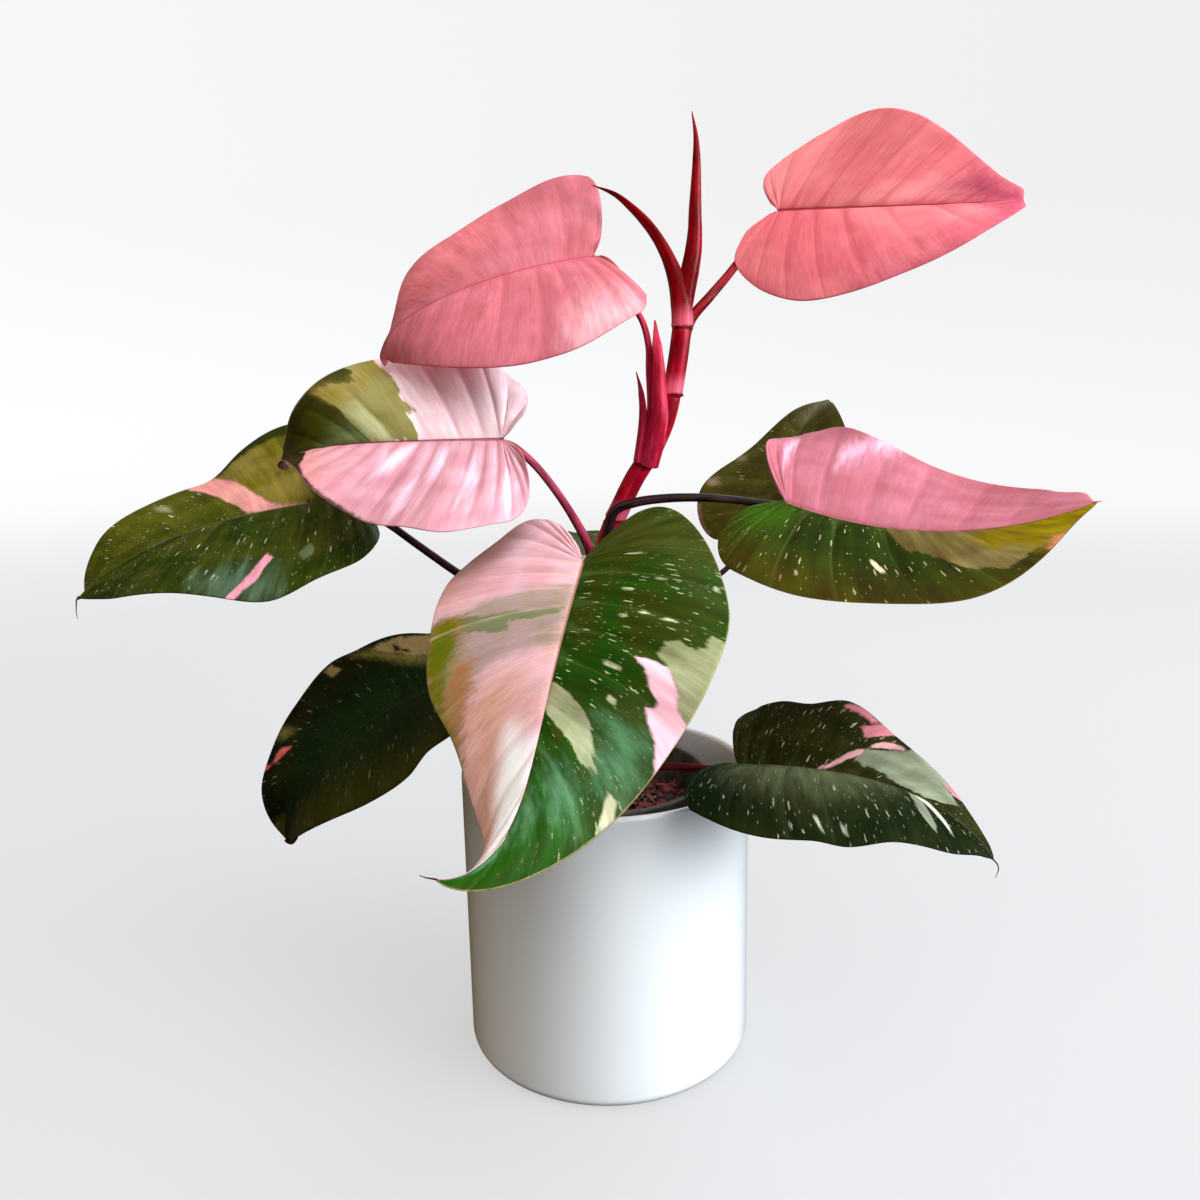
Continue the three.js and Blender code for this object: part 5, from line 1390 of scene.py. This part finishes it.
dripTips = {
    "far_left": {"finish": "darkPetiole", "run": (
        (1.5, 0, 2), (0, 0, 0), (-0.6, 0, -3.5), (-1.0, 0, -7), (-0.6, 0, -10.5))},
    "low_right": {"finish": "darkPetiole", "run": (
        (-1.5, 0, 1.2), (0, 0, 0), (1.6, 0, -2), (2.2, 0, -4.6), (1.0, 0, -8.5))},
    "front": {"finish": "darkPetiole", "run": ((2, 0, -0.6), (0, 0, 0), (-2.6, 0, 0.5), (-5, 0, 1.4))},
    "right": {"finish": "redPetiole", "run": ((-2, 0, -0.4), (0, 0, 0), (2.0, 0, 0.2))},
    "low_left": {"finish": "darkPetiole", "thick": (1.5, 0.7), "run": (
        (-1.2, 0, 2.4), (0, 0, 0.8), (1.6, 0, 0.4), (3.2, 0, 1.6), (4.4, 0, 3.2))},
}
tail = {"thick": (0.42, 0.12), "steps": 26, "sides": 10}


def buildDripTip(name, drip):
    tip = midribFrames(leaves[name])[1][-1]
    places, runs = smoothPath([tuple(tip + np.array(step)) for step in drip["run"]], tail["steps"])
    first, last = drip.get("thick", tail["thick"])
    radii = first + (last - first) * runs / runs[-1]
    piece = sweep(f"tail_{name}", places, radii, stemMaterials[drip["finish"]], tail["sides"], 1, 0.0)
    settle(piece, "dark_petiole", f"leaf_{name}")


for tipName, drip in dripTips.items():
    buildDripTip(tipName, drip)


# Rolled new leaf and the sheaths

shoots = {
    "new_leaf": {
        "finish": "darkRed", "kind": "rolled", "radii": (4.2, 4.7, 4.9, 4.4, 3.6, 3.15, 2.6, 2.1, 1.3, 0.25),
        "path": ((43.6, 0, 389), (45, 0, 400), (46.8, 0, 410), (48.6, 0, 420), (49.4, 0, 429), (49.5, 0, 438),
                 (50, 0, 450), (50.4, 0, 462), (50.1, 0, 473), (48.2, 0, 484)),
    },
    "bent_sheath": {
        "finish": "darkRed", "kind": "keeled", "open": 175, "gap": (14, 118), "flush": (383,),
        "radii": (5.5, 5.5, 4.7, 3.9, 3.5, 3.4, 2.9, 2.0, 0.35),
        "path": ((43.3, 0, 383.6), (43, 0, 393), (41.2, 0, 404), (38, 0, 414), (33.3, 0, 424),
                 (27, 0.2, 433.5), (19, 0.8, 442), (10.5, 1.6, 448.5), (-1, 3, 452.5)),
    },
    "upright_sheath": {
        "finish": "sheathPink", "kind": "keeled", "open": 40, "gap": (40, 120),
        "radii": (4.6, 5.2, 4.9, 4.3, 4.0, 3.4, 0.8),
        "path": ((25.5, -3.5, 315), (28.2, -6, 328), (30.2, -7.5, 340), (30, -8.2, 353), (29.6, -8.2, 365),
                 (28.8, -7.6, 376), (28.8, -7, 386.5)),
    },
    "small_sheath": {
        "finish": "sheathPink", "kind": "keeled", "open": 150, "gap": (60, 120),
        "radii": (2.7, 2.8, 2.6, 2.2, 0.5),
        "path": ((20.5, -4, 317), (22.8, -5.6, 331), (23.6, -5.4, 343), (22.6, -4.6, 353), (20, -4, 362)),
    },
}
shootSteps = 110
rolledCut = {"sides": 48, "seam": 2.4, "seamTurn": 1.6, "step": 0.16}
keeledCut = {"sides": 30, "keelAt": 0.3, "keelWidth": 0.09, "keelHeight": 0.09, "wall": 0.26, "wing": 0.05}


def ringFrames(places):
    ahead = np.gradient(places, axis=0)
    ahead /= np.linalg.norm(ahead, axis=1, keepdims=True)
    side = np.cross(ahead, (0, 1, 0))
    side /= np.linalg.norm(side, axis=1, keepdims=True)
    return side, np.cross(side, ahead)


def ringSection(kind, share, openAt, radius, gaps):  # outline of a cut across a shoot, as x and y
    if kind == "rolled":  # a leaf wound up on itself, with the free edge as a step
        cut = rolledCut
        turn = np.linspace(0, 1, cut["sides"], endpoint=False)
        angle = 2 * pi * turn + (cut["seam"] + cut["seamTurn"] * share)
        reach = radius * (1 - cut["step"] * turn)
        return reach * np.cos(angle), reach * np.sin(angle)
    cut = keeledCut
    arc = np.linspace(-1, 1, cut["sides"])  # a half pipe with two keels and thin wings
    gap = radians(gaps[0] + (gaps[1] - gaps[0]) * share)
    angle = radians(openAt) + pi + arc * (pi - gap)
    keels = [np.exp(-((arc - place) / cut["keelWidth"]) ** 2) for place in (cut["keelAt"], -cut["keelAt"])]
    outer = radius * (1 + cut["keelHeight"] * sum(keels))
    inner = radius - radius * (cut["wall"] * (1 - np.abs(arc) ** 3) + cut["wing"])
    angles = np.concatenate([angle, angle[::-1]])
    reach = np.concatenate([outer, inner[::-1]])
    return reach * np.cos(angles), reach * np.sin(angles)


def buildShoot(name, shoot):
    places, runs = smoothPath(shoot["path"], shootSteps)
    side, front = ringFrames(places)
    spans = len(shoot["radii"]) - 1
    radii = np.interp(np.linspace(0, spans, shootSteps), np.arange(spans + 1), shoot["radii"])
    points, ringPlaces = [], []
    for i in range(shootSteps):
        x, y = ringSection(shoot["kind"], i / (shootSteps - 1), shoot.get("open", 0), radii[i],
                           shoot.get("gap"))
        points.append(places[i] + side[i] * x[:, None] + front[i] * y[:, None])
        ringPlaces.append(np.stack([x, y], axis=-1) / radii[i])
    sides = len(points[0])
    faces = []
    for i in range(shootSteps - 1):
        for k in range(sides):
            a, b = i * sides + k, i * sides + (k + 1) % sides
            faces.append([a, b, b + sides, a + sides])
    faces += [list(range(sides))[::-1], [(shootSteps - 1) * sides + k for k in range(sides)]]
    skin = stemMaterials[shoot["finish"]]
    if "flush" in shoot:
        skin = paintStem(f"{name}Skin", {**stemFinishes[shoot["finish"]], "flush": shoot["flush"]})
    piece = addMesh(f"{name}_shape", (np.concatenate(points) * mm).tolist(), faces, skin,
                    pointValues={"alongTube": np.repeat(runs * mm, sides)})
    ring = piece.data.attributes.new("ringPlace", "FLOAT_VECTOR", "POINT")
    flat = np.concatenate([np.concatenate([r, np.zeros((sides, 1))], axis=1) for r in ringPlaces])
    ring.data.foreach_set("vector", flat.astype(np.float32).ravel())
    work = bmesh.new()
    work.from_mesh(piece.data)
    bmesh.ops.recalc_face_normals(work, faces=work.faces)
    work.to_mesh(piece.data)
    work.free()
    settle(piece, finishSlots[shoot["finish"]] if name == "new_leaf" else "red_stem", name)


for shootName, shoot in shoots.items():
    buildShoot(shootName, shoot)
print("shoots built")


# Cover pot, nursery pot and soil

def roundCorner(centre, radius, start, end, steps):
    angles = np.radians(np.linspace(start, end, steps + 1))
    return [(centre[0] + radius * cos(a), centre[1] + radius * sin(a)) for a in angles]


def paintGlaze(graph):
    place = graph.place()
    waves = graph.noise(place, 9.0, 1.0)
    peel = graph.noise(place, 260.0, 2.0)
    specks = graph.ease(graph.cells(place, 70.0), 0.030, 0.018)
    unglazed = graph.ease(graph.split(place, "Z"), 0.0016, 0.0006)
    colour = graph.blend(tint(244, 244, 243), tint(241, 242, 243), waves)
    colour = graph.blend(colour, tint(186, 176, 160), specks * 0.45)
    colour = graph.blend(colour, tint(222, 214, 200), unglazed)
    return {
        "Base Color": colour,
        "Roughness": 0.26 + specks * 0.15 + unglazed * 0.4,
        "Normal": graph.bump(peel * 0.05 + waves * 0.5, 0.10, 0.0005),
    }


def paintPlastic(graph):
    place = graph.place()
    dust = graph.noise(place, 70.0, 4.0, 0.6)
    grain = graph.noise(place, 1900.0, 2.0)
    colour = graph.blend(tint(52, 46, 38), tint(96, 88, 72), graph.ease(dust, 0.4, 0.75))
    return {
        "Base Color": colour, "Roughness": 0.42 + dust * 0.3,
        "Normal": graph.bump(grain * 0.4 + dust, 0.3, 0.0003),
    }


def paintSoil(graph):
    place = graph.place()
    clods = graph.noise(place, 210.0, 5.0, 0.7)
    grit = graph.noise(place, 900.0, 3.0, 0.6)
    colour = graph.blend(tint(14, 7, 6), tint(46, 24, 16), graph.ease(clods, 0.4, 0.7))
    colour = graph.blend(colour, tint(104, 74, 52), graph.ease(grit, 0.66, 0.78, 0.0, 0.7))
    return {"Base Color": colour, "Roughness": 0.92 - grit * 0.1,
            "Normal": graph.bump(clods + grit * 0.5, 0.8, 0.0015)}


def paintChips(dark, light, rough):
    def build(graph):
        tone = graph.attribute("chipTone")
        fibre = graph.noise(graph.scaled(graph.place(), (900, 260, 700)), 1.0, 3.0, 0.6)
        colour = graph.blend(tint(*dark), tint(*light), graph.ease(tone * 0.7 + fibre * 0.5, 0.25, 0.95))
        return {"Base Color": colour, "Roughness": rough + (fibre - 0.5) * 0.2,
                "Normal": graph.bump(fibre, 0.6, 0.0004)}
    return build


# hollow: distance in from the side and height of each corner of the hollow under the foot
pot = {
    "radius": 77.5, "height": 155, "wall": 4.5, "floor": 7, "footRound": 6, "rimRound": 2.2, "innerRound": 8,
    "hollow": ((16, 1.2), (13.5, 0.9), (12.5, 0.2), (11.8, 0)), "segments": 224,
}
nurseryPot = {
    "centreX": -3, "baseRadius": 47, "rimRadius": 60, "rimHeight": 150, "wall": 1.6, "floor": 2, "lipDrop": 9,
    "lipOut": 2.4, "drainHoles": 8, "drainRadius": 5, "drainRing": 33, "gap": 0.3, "segments": 160,
}
soil = {"top": 129, "crown": 3, "rings": 44, "sides": 150, "rough": 1.5}


def buildPot(values):
    radius, height, wall, floor = (values[key] for key in ("radius", "height", "wall", "floor"))
    inner = radius - wall
    foot, rim, cove = values["footRound"], values["rimRound"], values["innerRound"]
    profile = [
        (0, values["hollow"][0][1]), *[(radius - aside, rise) for aside, rise in values["hollow"]],
        *roundCorner((radius - foot, foot), foot, -90, 0, 10),
        *[(radius, z) for z in np.linspace(foot + 10, height - rim - 6, 12)],
        *roundCorner((radius - rim, height - rim), rim, 0, 90, 6),
        *roundCorner((inner + rim, height - rim), rim, 90, 180, 6),
        *[(inner, z) for z in np.linspace(height - rim - 8, floor + cove + 6, 8)],
        *roundCorner((inner - cove, floor + cove), cove, 0, -90, 8),
        (0, floor),
    ]
    glaze = dress("glaze", paintGlaze, **{"IOR": 1.5, "Coat Weight": 0.5, "Coat Roughness": 0.2})
    settle(revolve("cover_pot", profile, glaze, values["segments"]), "glaze", "pot")


def nurseryRadius(height):
    base = pot["floor"] + nurseryPot["gap"]
    share = (height - base) / (nurseryPot["rimHeight"] - base)
    underLip = nurseryPot["rimRadius"] - nurseryPot["lipOut"]
    return nurseryPot["baseRadius"] + (underLip - nurseryPot["baseRadius"]) * share


def buildNurseryPot(values):
    base, top, wall = pot["floor"] + values["gap"], values["rimHeight"], values["wall"]
    lip = top - values["lipDrop"]
    floorTop = base + values["floor"]
    profile = [
        (0, base), (nurseryRadius(base) - 1, base), (nurseryRadius(base + 1), base + 1),
        *[(nurseryRadius(z), z) for z in np.linspace(base + 6, lip - 1, 14)],
        (nurseryRadius(lip) + 0.2, lip), (values["rimRadius"] - 0.6, lip), (values["rimRadius"], lip + 0.6),
        (values["rimRadius"], top - 0.8), (values["rimRadius"] - 0.3, top - 0.2),
        (values["rimRadius"] - 0.9, top),
        (nurseryRadius(top) - wall + 0.9, top), (nurseryRadius(top) - wall + 0.25, top - 0.25),
        (nurseryRadius(top) - wall, top - 0.9),
        *[(nurseryRadius(z) - wall + (0.35 if k % 2 else 0), z)
          for k, z in enumerate(np.linspace(top - 8, top - 20, 5))],
        *[(nurseryRadius(z) - wall, z) for z in np.linspace(top - 24, floorTop + 3, 8)],
        (nurseryRadius(floorTop) - wall - 1, floorTop), (0, floorTop),
    ]
    piece = revolve("liner", profile, dress("nurseryPlastic", paintPlastic, **{"IOR": 1.46}),
                    values["segments"],
                    values["centreX"])
    for i in range(values["drainHoles"]):
        turn = 2 * pi * i / values["drainHoles"]
        bpy.ops.mesh.primitive_cylinder_add(vertices=28, radius=values["drainRadius"] * mm, depth=0.02,
                                            location=(
            (values["centreX"] + values["drainRing"] * cos(turn)) * mm,
            values["drainRing"] * sin(turn) * mm, base * mm))
        punch = bpy.context.object
        cut = piece.modifiers.new("drain", "BOOLEAN")
        cut.operation, cut.solver, cut.object = "DIFFERENCE", "EXACT", punch
        evaluated = piece.evaluated_get(bpy.context.evaluated_depsgraph_get())
        punched = bpy.data.meshes.new_from_object(evaluated)
        piece.modifiers.remove(cut)
        piece.data = punched
        bpy.data.objects.remove(punch)
    settle(piece, "nursery_plastic", "nursery_pot")


def soilHeight(share, turn):
    lumps = 1.1 * np.sin(5 * turn + 7 * share) + 0.8 * np.sin(9 * turn - 11 * share)
    lumps = lumps + 0.6 * np.sin(14 * turn + 17 * share)
    return soil["top"] + soil["crown"] * (1 - share**2) + lumps * np.sin(pi * np.minimum(share, 0.92))


def buildSoil(values):
    rings, sides = values["rings"], values["sides"]
    reach = nurseryRadius(values["top"]) - nurseryPot["wall"] - nurseryPot["gap"]
    centre = nurseryPot["centreX"]
    points = [(centre, 0, float(soilHeight(0.0, 0.0)))]
    for ring in range(1, rings + 1):
        share = ring / rings
        for k in range(sides):
            turn = 2 * pi * k / sides
            x, y = reach * share * cos(turn), reach * share * sin(turn)
            lump = noise.fractal(Vector((x, y, 3.1)) * 0.16, 0.8, 2.1, 4) * values["rough"]
            fade = min(1, (1 - share) * 8)
            points.append((centre + x, y, float(soilHeight(share, turn)) + lump * fade))
    bottom = pot["floor"] + nurseryPot["floor"] + 3 * nurseryPot["gap"]
    for k in range(sides):
        turn = 2 * pi * k / sides
        low = nurseryRadius(bottom) - nurseryPot["wall"] - nurseryPot["gap"]
        points.append((centre + low * cos(turn), low * sin(turn), bottom))
    points.append((centre, 0, bottom))
    faces = bowlFaces(rings, sides)
    foot = len(points) - 1
    faces += [(foot, 1 + rings * sides + (k + 1) % sides, 1 + rings * sides + k) for k in range(sides)]
    mix = dress("pottingSoil", paintSoil, **{"IOR": 1.4})
    bed = addMesh("soil_bed", [[v * mm for v in p] for p in points], faces, mix)
    settle(bed, "potting_mix", "soil")

    bark = dress("bark", paintChips((48, 12, 14), (138, 50, 46), 0.72))
    crumb = dress("crumbs", paintChips((16, 8, 6), (70, 36, 28), 0.9))
    fibre = dress("fibres", paintChips((60, 26, 18), (150, 92, 62), 0.8))
    grit = dress("paleGrit", paintChips((150, 140, 130), (226, 216, 206), 0.75))
    common = {"Centre X": centre * mm, "Stem X": stem["path"][0][0] * mm, "Reach": (reach - 3) * mm}
    layers = {
        "soil_crumbs": {"Density": 260000.0, "Seed": 11, "Detail": 1, "Length": 0.0026, "Width": 0.0021,
                        "Height": 0.0017, "Spread": 0.6, "Tilt": 1.2, "Keep Clear": 0.0062,
                        "Material": crumb},
        "bark_chips": {"Density": 34000.0, "Seed": 23, "Detail": 2, "Length": 0.0085, "Width": 0.0048,
                       "Height": 0.0026, "Spread": 0.5, "Tilt": 0.55, "Keep Clear": 0.011, "Material": bark},
        "soil_fibres": {"Density": 15000.0, "Seed": 37, "Detail": 1, "Length": 0.014, "Width": 0.0009,
                        "Height": 0.0008, "Spread": 0.5, "Tilt": 0.35, "Keep Clear": 0.014,
                        "Material": fibre},
        "pale_grit": {"Density": 9000.0, "Seed": 53, "Detail": 1, "Length": 0.0022, "Width": 0.0018,
                      "Height": 0.0015, "Spread": 0.5, "Tilt": 1.5, "Keep Clear": 0.009, "Material": grit},
    }
    for name, layer in layers.items():
        piece = grow(name, bed, strewn, {**common, **layer}, closed=False)
        settle(piece, "potting_mix", "soil")


buildPot(pot)
buildNurseryPot(nurseryPot)
buildSoil(soil)
print("pot, liner and soil built")


# Floor and backdrop

backdrop = {"floorRadius": 3.2, "bend": 1.2, "height": 5.0, "sides": 96, "paper": (112, 112, 113),
            "floorGlow": (194, 194, 195), "wallGlow": (232, 232, 232)}


def paintBackdrop(graph):
    place = graph.place()
    cloud = graph.noise(place, 1.4, 3.0)
    grain = graph.noise(place, 260.0, 2.0)
    paper = tint(*backdrop["paper"])
    away = graph.add("ShaderNodeVectorMath", {"operation": "LENGTH"}, (place,), "Value")
    return {
        "Base Color": graph.blend(paper, [share * 1.08 for share in paper], cloud),
        "Roughness": 0.86 + (grain - 0.5) * 0.06,
        "Normal": graph.bump(grain, 0.05, 0.0003),
        "Emission Color": graph.blend(
            tint(*backdrop["floorGlow"]), tint(*backdrop["wallGlow"]), graph.ease(away, 0.3, 4.2)),
    }


def buildBackdrop(values):  # a round pale studio, seen by the camera alone
    flat, bend, sides = values["floorRadius"], values["bend"], values["sides"]
    line = [(r, 0.0) for r in (0.4, 0.8, 1.4, 2.2, flat)]
    line += [(flat + bend * sin(a), bend * (1 - cos(a))) for a in np.linspace(0, pi / 2, 20)[1:]]
    line.append((flat + bend, values["height"]))
    turns = [2 * pi * k / sides for k in range(sides)]
    points = [(0.0, 0.0, 0.0)]
    points += [(r * cos(turn), r * sin(turn), z) for r, z in line for turn in turns]
    paper = dress("floorPaper", paintBackdrop, **{"Emission Strength": 1.0})
    floor = addMesh("floor", points, bowlFaces(len(line) - 1, sides), paper)
    floor.visible_diffuse = floor.visible_glossy = False


buildBackdrop(backdrop)
print("backdrop hung")

bpy.context.view_layer.update()
